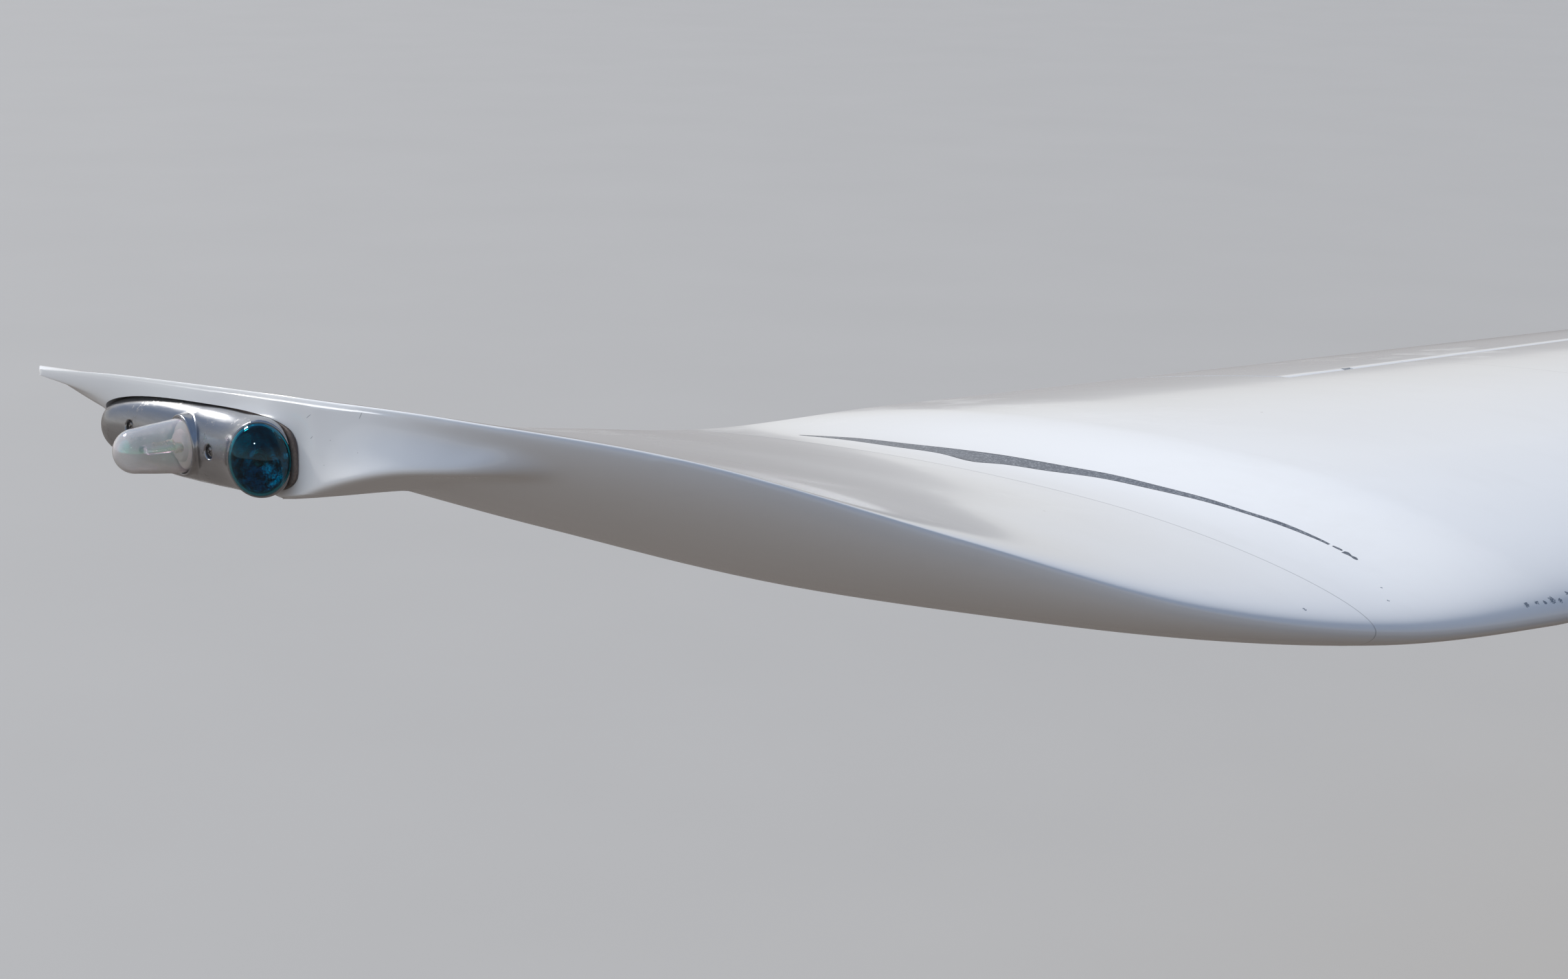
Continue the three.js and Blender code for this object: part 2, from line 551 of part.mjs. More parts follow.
function makeRoot(panel) {
  const rib = loft([sectionRing(panelStation(0), PANEL_STEPS), sectionRing(panelStation(RIB_THICK), PANEL_STEPS)]);
  const stub = (grow) => {
    const ring = (x, high) => [[-1, -1], [1, -1], [1, 1], [-1, 1]].map(([y, z]) => new THREE.Vector3(
      x, y * (STUB.width / 2 + grow), z * (high / 2 + grow)));
    return toSolid(loft([ring(-STUB.length, STUB.endHeight), ring(STUB.inside + grow, STUB.rootHeight)]));
  };
  let beam = stub(0);
  for (const side of [-1, 1]) {
    const y = side * (STUB.web / 2);
    const [y0, y1] = side > 0 ? [y, FAR] : [-FAR, y];
    const high = STUB.endHeight / 2 - STUB.flange;
    beam = beam.subtract(boxSolid(-STUB.length + STUB.solidEnd, -STUB.solidEnd, y0, y1, -high, high));
  }
  for (const [name, x] of BUSHES) {
    const half = STUB.width / 2 + BUSH.proud;
    const boss = rodAlongY(x, -STUB.width / 2, STUB.width / 2, 0, BUSH.outer + 5, 32);
    beam = beam.add(boss).subtract(rodAlongY(x, -FAR, FAR, 0, BUSH.outer + SEAT_GAP, 32));
    const bush = rodAlongY(x, -half, half, 0, BUSH.outer, 32).subtract(rodAlongY(x, -FAR, FAR, 0, BUSH.bore, 32));
    addPiece(name, toGeometry(bush), STEEL);
  }
  addPiece('spar_stub', toGeometry(beam), GLASS_FIBRE);
  const pocket = stub(SEAT_GAP);
  const rodHole = rodAlongX(-FAR, CONTROL_ROD.inside + SEAT_GAP, CONTROL_ROD.y, CONTROL_ROD.z,
    CONTROL_ROD.radius + SEAT_GAP);
  const flap = hingeFrame(FLAP);
  const beside = toSolid(alongHinge(flap, -FAR / 8, 10, coveOutline));
  addPiece('root_rib', toGeometry(toSolid(rib).subtract(pocket).subtract(rodHole).subtract(beside)), GLASS_FIBRE);
  const rod = rodAlongX(-CONTROL_ROD.out, CONTROL_ROD.inside, CONTROL_ROD.y, CONTROL_ROD.z, CONTROL_ROD.radius);
  addPiece('aileron_control_rod', toGeometry(rod), STEEL);
  for (const [name, y, z, flangeRadius, flangeThick, radius, reach] of ROOT_PINS) {
    const profile = [[0, 0], [flangeRadius, 0], [flangeRadius, flangeThick], [radius, flangeThick],
      [radius, reach - 5], [radius - 4, reach], [0, reach]];
    const pin = new THREE.LatheGeometry(profile.map(([r, h]) => new THREE.Vector2(r, h)), 28);
    pin.rotateZ(Math.PI / 2);
    pin.translate(-SEAT_GAP, y, z);
    addPiece(name, faceOutwards(pin), STEEL);
  }
  const half = CONNECTOR.flange / 2;
  const socket = boxSolid(-CONNECTOR.thick - SEAT_GAP, -SEAT_GAP, CONNECTOR.y - half, CONNECTOR.y + half,
    CONNECTOR.z - half, CONNECTOR.z + half)
    .add(rodAlongX(-CONNECTOR.reach, -2, CONNECTOR.y, CONNECTOR.z, CONNECTOR.radius));
  addPiece('wing_connector', toGeometry(socket), CAST);
  return panel.subtract(pocket).subtract(rodHole).subtract(beside);
}

// Height of the underside at a place on the straight part of the panel.
function undersideAt(x, y) {
  const station = panelStation(x);
  return sectionPoint(station, (station[1] - y) / (station[1] - station[4]), -1).z;
}

function makeUnderside(panel) {
  let solid = panel;
  for (const [name, x, y, radius] of COVERS) {
    const level = undersideAt(x, y) + COVER_THICK;
    const disc = (r, top) => {
      const geometry = new THREE.CylinderGeometry(r, r, FAR / 4, 40);
      geometry.rotateX(Math.PI / 2);
      geometry.translate(x, y, top - FAR / 8);
      return toSolid(geometry);
    };
    addPiece(name, toGeometry(panel.intersect(disc(radius, level))), PAINT);
    solid = solid.subtract(disc(radius + SEAT_GAP, level + SEAT_GAP));
  }
  const skin = undersideAt(TIE_DOWN.x, TIE_DOWN.y);
  const drop = TIE_DOWN.ring + 10;
  const ring = new THREE.TorusGeometry(TIE_DOWN.ring, TIE_DOWN.wire, 12, 28);
  ring.rotateX(Math.PI / 2);
  ring.translate(TIE_DOWN.x, TIE_DOWN.y, skin - drop);
  const studAt = (radius, top) => {
    const foot = skin - drop + TIE_DOWN.ring - 1;
    return rodBetween(new THREE.Vector3(TIE_DOWN.x, TIE_DOWN.y, foot),
      new THREE.Vector3(TIE_DOWN.x, TIE_DOWN.y, top), radius, 20);
  };
  addPiece('tie_down_ring', toGeometry(toSolid(ring).add(studAt(TIE_DOWN.stud, skin + TIE_DOWN.inside))), STEEL);
  return solid.subtract(studAt(TIE_DOWN.stud + SEAT_GAP, skin + TIE_DOWN.inside + SEAT_GAP));
}

function hornOutline(radius, grow) {
  const low = -radius - HORN.reach;
  const [back, front] = [-HORN.back - grow, HORN.front + grow];
  return [[back, -radius + HORN.tang + grow], [back, -radius - HORN.neck],
    ...arc(HORN.eye + grow, 180, 360, 10).map(([y, z]) => [y, z + low]),
    [front, -radius - HORN.neck], [front, -radius + HORN.tang + grow]];
}

// Lever under the aileron and the rod that drives it, open at the rod's eye.
function makeAileronDrive(frame, aileron, panel) {
  const middle = frame.length * HORN.share;
  const [a0, a1] = [middle - HORN.thick / 2, middle + HORN.thick / 2];
  const radius = frame.radiusAt(middle);
  const eyeHeight = -radius - HORN.reach;
  const hole = alongHinge(frame, a0 - 2, a1 + 2,
    () => arc(HORN.hole, 0, 342, 19).map(([y, z]) => [y, z + eyeHeight]));
  const plate = toSolid(alongHinge(frame, a0, a1, () => hornOutline(radius, 0))).subtract(toSolid(hole));
  addPiece('aileron_horn', toGeometry(plate), STEEL);
  const slot = toSolid(alongHinge(frame, a0 - SEAT_GAP, a1 + SEAT_GAP, () => hornOutline(radius, SEAT_GAP)));
  const side = middle + ROD.beside;
  const eye = new THREE.Vector3(side, 0, eyeHeight).applyMatrix4(frame.matrix);
  const entry = new THREE.Vector3(side, ROD.entry, -radius + ROD.rise).applyMatrix4(frame.matrix);
  const ring = toSolid(alongHinge(frame, side - HORN.thick / 2, side + HORN.thick / 2,
    () => arc(HORN.eye, 0, 345, 23).map(([y, z]) => [y, z + eyeHeight])));
  const bore = toSolid(alongHinge(frame, side - HORN.thick, side + HORN.thick,
    () => arc(HORN.hole, 0, 342, 19).map(([y, z]) => [y, z + eyeHeight])));
  const rod = rodBetween(eye, entry, ROD.radius).add(ring).subtract(bore);
  addPiece('aileron_push_rod', toGeometry(rod), STEEL);
  const hollow = rodBetween(eye, entry.clone().addScaledVector(entry.clone().sub(eye).normalize(), SEAT_GAP),
    ROD.radius + SEAT_GAP);
  const blister = new THREE.SphereGeometry(1, 24, 14);
  blister.scale(FAIRING.halfWidth, FAIRING.halfLength, FAIRING.drop);
  const middleY = entry.y - FAIRING.behind;
  blister.translate(entry.x, middleY, undersideAt(entry.x, middleY));
  const fairing = toSolid(blister).subtract(panel).subtract(panel.translate([0, 0, -SEAT_GAP])).subtract(hollow);
  const pieces = fairing.decompose().sort((a, b) => b.volume() - a.volume());
  addPiece('aileron_rod_fairing', toGeometry(pieces[0]), PAINT);
  return { aileron: aileron.subtract(slot), panel: panel.subtract(hollow) };
}

function makeWing() {
  const aileronFrame = hingeFrame(AILERON);
  const flapFrame = hingeFrame(FLAP);
  const driven = makeAileronDrive(aileronFrame, surfaceSolid(AILERON, aileronFrame), makePanel());
  addPiece('aileron', toGeometry(driven.aileron), PAINT);
  addPiece('flap', toGeometry(surfaceSolid(FLAP, flapFrame)), PAINT);
  for (const [surface, frame] of [[AILERON, aileronFrame], [FLAP, flapFrame]]) {
    surface.brackets.forEach((share, i) => makeHinge(surface, frame, share, i + 1));
  }
  const inboard = END_GAP - SEAT_GAP;
  const drive = alongHinge(flapFrame, inboard - FLAP_DRIVE.reach, inboard,
    () => arc(FLAP_DRIVE.radius, 0, 345, 23).map(([y, z]) => [y - FLAP_DRIVE.back, z]));
  addPiece('flap_drive_pin', drive, STEEL);
  const panel = makeUnderside(makeRoot(driven.panel));
  addPiece('wing_panel', toGeometry(panel), PAINT);
  const tip = makeTip();
  makeLight();
  addPiece('wing_tip', toGeometry(tip), PAINT);
}

makeWing();

export default wing;
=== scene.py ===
import math
from functools import reduce
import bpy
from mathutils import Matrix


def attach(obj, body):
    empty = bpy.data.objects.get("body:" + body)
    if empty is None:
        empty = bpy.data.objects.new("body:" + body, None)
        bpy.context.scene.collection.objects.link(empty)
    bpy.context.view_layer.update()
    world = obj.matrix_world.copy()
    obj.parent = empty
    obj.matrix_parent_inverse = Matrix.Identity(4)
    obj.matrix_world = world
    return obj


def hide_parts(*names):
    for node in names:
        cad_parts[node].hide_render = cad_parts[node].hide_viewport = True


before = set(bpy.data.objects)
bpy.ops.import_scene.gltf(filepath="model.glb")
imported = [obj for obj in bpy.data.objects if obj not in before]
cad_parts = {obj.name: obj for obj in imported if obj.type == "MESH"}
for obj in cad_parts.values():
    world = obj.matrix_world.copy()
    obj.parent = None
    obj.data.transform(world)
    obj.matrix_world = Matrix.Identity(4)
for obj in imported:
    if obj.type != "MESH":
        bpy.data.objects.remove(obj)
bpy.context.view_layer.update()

from types import SimpleNamespace

import bpy
from mathutils import Matrix, Vector

mm = 0.001


def deselectAll():
    if bpy.context.object and bpy.context.object.mode != "OBJECT":
        bpy.ops.object.mode_set(mode="OBJECT")
    bpy.ops.object.select_all(action="DESELECT")


def pick(piece):
    deselectAll()
    piece.select_set(True)
    bpy.context.view_layer.objects.active = piece
    return piece


def newest(name):
    made = bpy.context.object
    made.name = name
    made.data.name = name
    return made


# Puts the piece's place into its mesh.
def settle(piece):
    pick(piece)
    bpy.ops.object.transform_apply(location=True, rotation=True, scale=True)
    return piece


# Leaves the piece in edit mode with all of its mesh selected.
def editAll(piece):
    pick(piece)
    bpy.ops.object.mode_set(mode="EDIT")
    bpy.ops.mesh.select_all(action="SELECT")


# Closed skin over rings of equal length, in millimetres: a grid whose points are moved onto the rings.
def shellOverRings(name, rings):
    around, along = len(rings[0]), len(rings) - 1
    deselectAll()
    bpy.ops.mesh.primitive_grid_add(x_subdivisions=around, y_subdivisions=along, size=1)
    shell = newest(name)
    for vertex in shell.data.vertices:
        i = round((vertex.co.x + 0.5) * around) % around
        k = round((vertex.co.y + 0.5) * along)
        vertex.co = rings[k][i] * mm
    editAll(shell)
    bpy.ops.mesh.remove_doubles(threshold=0.000002)
    bpy.ops.mesh.fill_holes(sides=0)
    bpy.ops.mesh.normals_make_consistent(inside=False)
    bpy.ops.object.mode_set(mode="OBJECT")
    return shell


# Cosine and sine of evenly spaced angles all round.
def circle(sides):
    angles = [2 * math.pi * i / sides for i in range(sides)]
    return [(math.cos(a), math.sin(a)) for a in angles]


# Solid of revolution about the place's X axis; profile rows are (radius, distance along the axis).
def turnedShell(name, profile, place, sides, high=1):
    rings = [[place @ Vector((along, radius * c, radius * high * s)) for c, s in circle(sides)]
             for radius, along in profile]
    return shellOverRings(name, rings)


def applyModifier(piece, kind, **values):
    pick(piece)
    bpy.ops.object.modifier_add(type=kind)
    step = piece.modifiers[-1]
    for key, value in values.items():
        setattr(step, key, value)
    bpy.ops.object.modifier_apply(modifier=step.name)
    return piece


def combine(piece, other, operation="DIFFERENCE"):
    applyModifier(piece, "BOOLEAN", operation=operation, solver="EXACT", object=other)
    bpy.data.objects.remove(other)
    return piece


def roundEdges(piece, width, angle):
    return applyModifier(piece, "BEVEL", width=width * mm, segments=2, limit_method="ANGLE",
                         angle_limit=math.radians(angle))


def shadeByAngle(piece, angle):
    pick(piece)
    bpy.ops.object.shade_smooth_by_angle(angle=math.radians(angle))
    return piece


def copyOf(piece, name):
    twin = piece.copy()
    twin.data = piece.data.copy()
    twin.name = name
    bpy.context.scene.collection.objects.link(twin)
    return twin


# Gives a finished piece its material, the body that it rides on, and the CAD nodes that it stands for.
def putOn(piece, material, body, slotName, *nodes):
    piece.data.materials.clear()
    piece.data.materials.append(material)
    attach(piece, body)
    if nodes:
        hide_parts(*nodes)
    return piece


# A look holds the tree that is being built, and the place that its textures read.
def feed(look, node, values):
    for socket, value in values.items():
        if isinstance(value, bpy.types.NodeSocket):
            look.tree.links.new(value, node.inputs[socket])
        else:
            node.inputs[socket].default_value = value
    return node


def addNode(look, kind, values=None, **settings):
    node = look.tree.nodes.new("ShaderNode" + kind)
    for key, value in settings.items():
        setattr(node, key, value)
    return feed(look, node, values or {})


# Each colour is a socket or three numbers.
def mixColours(look, factor, *colours):
    first, second = [c if isinstance(c, bpy.types.NodeSocket) else (*c, 1) for c in colours]
    return addNode(look, "Mix", {0: factor, 6: first, 7: second}, data_type="RGBA").outputs[2]


def calculate(look, operation, first, second=0.0):
    return addNode(look, "Math", {0: first, 1: second}, operation=operation).outputs[0]


def times(look, first, second):
    return calculate(look, "MULTIPLY", first, second)


def gather(look, operation, values):
    return reduce(lambda first, second: calculate(look, operation, first, second), values)


# Lays a second colour over the first where the mask is, by a share at most.
def layOver(look, colour, mask, share, second):
    return mixColours(look, times(look, mask, share), colour, second)


def rescale(look, value, low, high, newLow=0.0, newHigh=1.0):
    return addNode(look, "MapRange", {"Value": value, "From Min": low, "From Max": high,
                                      "To Min": newLow, "To Max": newHigh}).outputs[0]


def stretched(look, scale):
    return addNode(look, "Mapping", {"Vector": look.place, "Scale": scale}).outputs[0]


def awayFrom(look, spot, place=None):
    return addNode(look, "VectorMath", {0: place or look.place, 1: spot}, operation="DISTANCE").outputs[1]


def noise(look, scale, detail=4.0, roughness=0.55, place=None):
    return addNode(look, "TexNoise", {"Vector": place or look.place, "Scale": scale, "Detail": detail,
                                      "Roughness": roughness}).outputs[0]


def groupOn(look, group, **values):
    node = addNode(look, "Group", node_tree=group)
    return feed(look, node, {"Vector": look.place, **values}).outputs


def grimeOn(look, scale, cover):
    return groupOn(look, grimeFilm, Scale=scale, Cover=cover)[0]


def specksOn(look, scale, size):
    return groupOn(look, fineSpecks, Scale=scale, Size=size)[0]


def addBump(look, height, strength, distance):
    bump = addNode(look, "Bump", {"Height": height, "Strength": strength, "Distance": distance})
    feed(look, look.shader, {"Normal": bump.outputs[0]})


def paintOver(look, colour, **sockets):
    feed(look, look.shader, {"Base Color": colour, **sockets})


def startMaterial(name, colour, roughness, metallic=0.0, **sockets):
    material = bpy.data.materials.new(name)
    material.use_nodes = True
    tree = material.node_tree
    look = SimpleNamespace(material=material, tree=tree, shader=tree.nodes["Principled BSDF"])
    feed(look, look.shader, {"Base Color": (*colour, 1), "Roughness": roughness, "Metallic": metallic})
    feed(look, look.shader, {key.replace("_", " "): value for key, value in sockets.items()})
    look.place = addNode(look, "TexCoord").outputs["Object"]
    return look


def startGroup(name, inputs, outputs):
    group = bpy.data.node_groups.new(name, "ShaderNodeTree")
    for label, value in {"Vector": (0, 0, 0), **inputs}.items():
        kind = "NodeSocketVector" if isinstance(value, tuple) else "NodeSocketFloat"
        group.interface.new_socket(name=label, in_out="INPUT", socket_type=kind).default_value = value
    for label in outputs:
        group.interface.new_socket(name=label, in_out="OUTPUT", socket_type="NodeSocketFloat")
    entry = group.nodes.new("NodeGroupInput").outputs
    leave = group.nodes.new("NodeGroupOutput")
    return SimpleNamespace(tree=group, entry=entry, leave=leave, place=entry["Vector"])


# Blotchy film of dirt; Cover is how much of the surface it reaches.
def makeGrimeGroup():
    look = startGroup("grimeFilm", {"Scale": 8.0, "Cover": 0.4}, ["Mask"])
    scale, cover = look.entry["Scale"], look.entry["Cover"]
    broad = noise(look, scale, 6.0, 0.6)
    fine = noise(look, times(look, scale, 9.0), 5.0, 0.65)
    both = times(look, broad, calculate(look, "ADD", fine, 0.55))
    start = calculate(look, "SUBTRACT", 0.78, times(look, cover, 0.5))
    feed(look, look.leave, {"Mask": rescale(look, both, start, calculate(look, "ADD", start, 0.22))})
    return look.tree


# Scattered small round specks; Size is a speck's share of its cell.
def makeSpeckGroup():
    look = startGroup("fineSpecks", {"Scale": 40.0, "Size": 0.1}, ["Mask"])
    cell = addNode(look, "TexVoronoi", {"Vector": look.place, "Scale": look.entry["Scale"]}).outputs
    near = calculate(look, "LESS_THAN", cell["Distance"], look.entry["Size"])
    chance = addNode(look, "SeparateColor", {"Color": cell["Color"]}).outputs[0]
    some = calculate(look, "GREATER_THAN", chance, 0.72)
    feed(look, look.leave, {"Mask": times(look, near, some)})
    return look.tree


# Fine tool marks: a height and a tone that vary quickly across the marks and slowly along them.
def makeBrushGroup():
    look = startGroup("toolMarks", {"Across": (1, 1, 1), "Scale": 60.0}, ["Height", "Tone"])
    across = addNode(look, "VectorMath", {0: look.place, 1: look.entry["Across"]}, operation="MULTIPLY")
    marks = noise(look, look.entry["Scale"], 7.0, 0.7, across.outputs[0])
    feed(look, look.leave, {"Height": marks, "Tone": rescale(look, marks, 0.3, 0.7)})
    return look.tree


grimeFilm, fineSpecks, toolMarks = makeGrimeGroup(), makeSpeckGroup(), makeBrushGroup()


camera = {
    "place": (5.9102, 1.5510, 0.8184),
    "yaw": 44.44,    # from looking straight aft, towards the root
    "pitch": 13.03,
    "roll": 0.842,
    "lens": 69.85,
}


def makeCamera():
    yaw, pitch, roll = (math.radians(camera[key]) for key in ("yaw", "pitch", "roll"))
    ahead = Vector((-math.sin(yaw) * math.cos(pitch), -math.cos(yaw) * math.cos(pitch), -math.sin(pitch)))
    level = Vector((-math.cos(yaw), math.sin(yaw), 0))
    upright = level.cross(ahead)
    right = level * math.cos(roll) + upright * math.sin(roll)
    up = upright * math.cos(roll) - level * math.sin(roll)
    deselectAll()
    bpy.ops.object.camera_add(location=camera["place"])
    made = bpy.context.object
    made.rotation_euler = Matrix((right, up, -ahead)).transposed().to_euler()
    made.data.lens, made.data.sensor_width, made.data.clip_end = camera["lens"], 36, 300
    bpy.context.scene.camera = made


makeCamera()
print("camera set")


wing = {    # millimetres, as in every dictionary of a form below
    "rootStation": (0, 400, -32, 0, -797, -49.5, 167, 0, 44.5),
    # nose x, y, z, tail x, y, z, thickness, share below, camber
    "tipStations": [
        (3860, 341.8, 195.4, 3860.0, -423.8, 240.3, 81.7, 0.00, 19.8),
        (4050, 315.4, 210.1, 4050.0, -442.4, 242.6, 68.8, 0.13, 13.7),
        (4240, 273.9, 252.3, 4240.0, -417.8, 272.9, 71.4, 0.35, 10.5),
        (4420, 209.9, 319.1, 4420.0, -394.1, 304.9, 77.1, 0.67, 6.8),
        (4600, 143.5, 388.3, 4586.0, -374.2, 342.3, 66.1, 0.90, 5.2),
        (4738, 66.9, 424.4, 4712.0, -362.4, 374.8, 47.6, 1.00, 5.1),
        (4786, -18.5, 430.6, 4768.0, -352.5, 391.1, 45.3, 1.00, 2.1),
        (4799, -113.3, 426.8, 4789.0, -342.0, 403.3, 36.4, 1.00, 0.3),
        (4807, -227.4, 419.6, 4803.0, -332.4, 409.1, 15.1, 1.00, -0.4),
        (4812, -318.0, 410.8, 4811.5, -320.5, 408.9, 3.5, 1.00, 0),
    ],
    "tipJoint": 1.15,   # place among the rows where the tip meets the panel
    "padRow": 4,        # row from which the light's pad can reach
    "thickest": 0.304,
    "nosePower": 2.03,
    "tailPower": 1.49,
    "tailThick": 2.4,
    "rib": 8,
    "gap": 0.3,
    "aroundHalf": 120,  # faces from tail to nose on each side of a section
}

light = {
    "place": (4792, -138, 385.8), "tilt": 2.6,
    "front": 101, "back": 119, "half": 27, "frontPower": 3.7, "backPower": 2.6,
    "margin": 1.5, "tailRound": 26,
}

# where the flat pad runs out ahead of the light: y, heights of its lower and upper edge, how far inboard
# the lower edge has turned, and how far the upper edge leans inboard of it
tongue = [(-62, 361, 440, 0, 0), (-22, 370, 440, 0.5, 5), (0, 377.5, 436, 3.4, 12),
          (19, 384.5, 430, 6, 19), (39, 390, 420, 15, 21), (57, 391, 410, 28, 20), (70, 391, 400, 44, 13)]


# Smooth curve between the second and the third of four rows.
def curved(f, *rows):
    return [p1 + 0.5 * f * (p2 - p0 + f * (2 * p0 - 5 * p1 + 4 * p2 - p3 + f * (3 * (p1 - p2) + p3 - p0)))
            for p0, p1, p2, p3 in zip(*rows)]


def mixRows(first, second, share):
    return [a + (b - a) * share for a, b in zip(first, second)]


def panelStation(x):
    return mixRows(wing["rootStation"], wing["tipStations"][0], x / wing["tipStations"][0][0])


# Smooth curve through the tip stations; t counts rows.
def tipStation(t):
    rows = wing["tipStations"]
    last = len(rows) - 1
    k = min(math.floor(t), last - 1)
    before = rows[k - 1] if k > 0 else panelStation(2 * rows[0][0] - rows[1][0])
    after = rows[k + 2] if k + 2 <= last else mixRows(rows[last - 1], rows[last], 2)
    return curved(t - k, before, rows[k], rows[k + 1], after)


def halfThickness(u):
    thickest = wing["thickest"]
    if u < thickest:
        return 0.5 * (1 - (1 - u / thickest) ** wing["nosePower"]) ** (1 / wing["nosePower"])
    return 0.5 * (1 - ((u - thickest) / (1 - thickest)) ** wing["tailPower"])


# u runs from nose to tail; side is 1 on top and -1 below.
def sectionPoint(station, u, side):
    nx, ny, nz, tx, ty, tz, thick, below, camber = station
    share = 1 - below if side > 0 else 1 + below
    z = nz + (tz - nz) * u + camber * 4 * u * (1 - u) + side * (thick * share * halfThickness(u)
                                                              + 0.5 * wing["tailThick"] * u)
    return Vector((nx + (tx - nx) * u, ny + (ty - ny) * u, z))


def skinPoint(station, y, side):
    return sectionPoint(station, (station[1] - y) / (station[1] - station[4]), side)


def sectionRing(station):
    steps = wing["aroundHalf"]
    spaced = [(1 - math.cos(math.pi * i / steps)) / 2 for i in range(steps + 1)]
    top = [sectionPoint(station, u, 1) for u in reversed(spaced)]
    return top + [sectionPoint(station, u, -1) for u in spaced[1:]]


# Half the light's height at a place along it.
def outlineHalf(y):
    reach, power = (light["front"], light["frontPower"]) if y > 0 else (light["back"], light["backPower"])
    return light["half"] * max(0, 1 - (abs(y) / reach) ** power) ** (1 / power)


def tongueAt(y):
    if y >= tongue[-1][0]:
        return tongue[-1]
    k = max(0, next(i for i, row in enumerate(tongue) if row[0] > y) - 1)
    return mixRows(tongue[k], tongue[k + 1], (y - tongue[k][0]) / (tongue[k + 1][0] - tongue[k][0]))


# How far outboard the light's pad stands.
def padReach(y, z):
    along = y - light["place"][1]
    axis = light["place"][2] + along * math.tan(math.radians(light["tilt"]))
    if y < tongue[0][0]:
        low = axis - outlineHalf(max(along, light["tailRound"] - light["back"])) - light["margin"]
        high, inboard, lean = tongue[0][2], 0, 0
    else:
        low, high, inboard, lean = tongueAt(y)[1:]
    beyond = max(0, (y - tongue[-1][0]) / 2, (-light["back"] - light["margin"] - along) / 2)
    away = math.hypot(max(0, low - z, z - high), beyond)
    leaning = lean * min(1, max(0, (z - low) / (high - low)))
    return light["place"][0] + 1 - inboard - leaning - away * away


# Draws a point out to the pad, with a soft change where the two meet.
def onPad(point):
    soft, plain = 3, 12    # past this many soft widths the change is over
    lift = (padReach(point.y, point.z) - point.x) / soft
    if lift > -plain:
        point = point + Vector((soft * (lift if lift > plain else math.log1p(math.exp(lift))), 0, 0))
    return point


lightFrame = Matrix.Translation(Vector(light["place"])) @ Matrix.Rotation(math.radians(light["tilt"]), 4, "X")


# Ring of the light's outline at a distance off the pad, grown by an edge.
def lightOutline(grow, x, steps=120):
    middle, reach = (light["front"] - light["back"]) / 2, (light["front"] + light["back"]) / 2
    ring = []
    for i in range(steps):
        angle = 2 * math.pi * (i + 0.5) / steps
        c, s = math.cos(angle), math.sin(angle)
        y = middle + reach * c
        half = math.copysign(outlineHalf(y), s)
        ring.append(lightFrame @ Vector((x, y + grow * c, half + grow * s)))
    return ring


skin = {
    "tipPerRow": 12, "padPerRow": 34, "panelRings": 26, "jointRings": 12,
    "seat": 0.4, "crest": 5, "smoothBelow": 38,
    # y where the evening of the fold starts, is full, fades and is gone, and x and depth where it starts
    "fold": (-30, -5, 90, 130), "foldX": 4600, "foldDeep": 3, "foldRounds": 30,
}


def makeTip():
    rings = []
    joint, last = wing["tipJoint"], len(wing["tipStations"]) - 1
    places = [joint]
    for row in range(int(joint), last):
        steps = skin["tipPerRow"] if row < wing["padRow"] else skin["padPerRow"]
        places += [row + i / steps for i in range(steps) if row + i / steps > joint + 0.02]
    for t in places + [last]:
        ring = roundCrest(tipStation(t))
        if t >= wing["padRow"]:
            ring = [onPad(p) if i > wing["aroundHalf"] else p for i, p in enumerate(ring)]
        rings.append(ring)
    for point in rings[0]:
        point.x += wing["gap"] / 2
    tip = shellOverRings("tipSkin", rings)
    softenFold(tip)
    seat = shellOverRings("seatCutter", [lightOutline(skin["seat"], 0), lightOutline(skin["seat"], 200)])
    return combine(tip, seat)


# Ring of a tip section, with the corner between its flat top and its nose, the middle point, rounded.
def roundCrest(station):
    ring, middle = sectionRing(station), wing["aroundHalf"]
    chord, thick, below = station[1] - station[4], station[6], station[7]
    radius = min(skin["crest"] * below ** 2, 0.12 * chord, 0.3 * thick)
    if radius < 0.3:
        return ring
    corner = ring[middle]
    first = next(i for i in range(middle, -1, -1) if (ring[i] - corner).length >= radius)
    last = next(i for i in range(middle, len(ring)) if (ring[i] - corner).length >= radius)
    start, end = ring[first], ring[last]
    for i in range(first + 1, last):
        t = (i - first) / (last - first)
        ring[i] = start * (1 - t) ** 2 + corner * (2 * t * (1 - t)) + end * t * t
    return ring


# Evens out the fold where the pad ahead of the light runs out in the round nose.
def softenFold(tip):
    fold = tip.vertex_groups.new(name="fold")
    start, full, end, gone = skin["fold"]
    for vertex in tip.data.vertices:
        x, y, z = vertex.co / mm
        along = min(1, max(0, (y - start) / (full - start)), max(0, (gone - y) / (gone - end)))
        below = min(1, max(0, (noseHeight(y) - skin["foldDeep"] - z) / 10))
        share = along * below * min(1, max(0, (x - skin["foldX"]) / 40))
        if share > 0:
            fold.add([vertex.index], share, "REPLACE")
    applyModifier(tip, "SMOOTH", factor=0.5, iterations=skin["foldRounds"], vertex_group="fold")


# Height of the nose at a place along the tip.
def noseHeight(y):
    rows = wing["tipStations"]
    k = next((i for i in range(len(rows) - 1) if rows[i + 1][1] < y), len(rows) - 2)
    return rows[k][2] + (rows[k + 1][2] - rows[k][2]) * (rows[k][1] - y) / (rows[k][1] - rows[k + 1][1])


def makePanelSkin():
    first = wing["rib"] + wing["gap"]
    straight = wing["tipStations"][0][0]
    count = skin["panelRings"]
    rings = [sectionRing(panelStation(first + (straight - first) * i / count)) for i in range(count)]
    steps = skin["jointRings"]
    rings += [sectionRing(tipStation(wing["tipJoint"] * i / steps)) for i in range(steps + 1)]
    for point in rings[-1]:
        point.x -= wing["gap"] / 2
    return shellOverRings("panelSkin", rings)


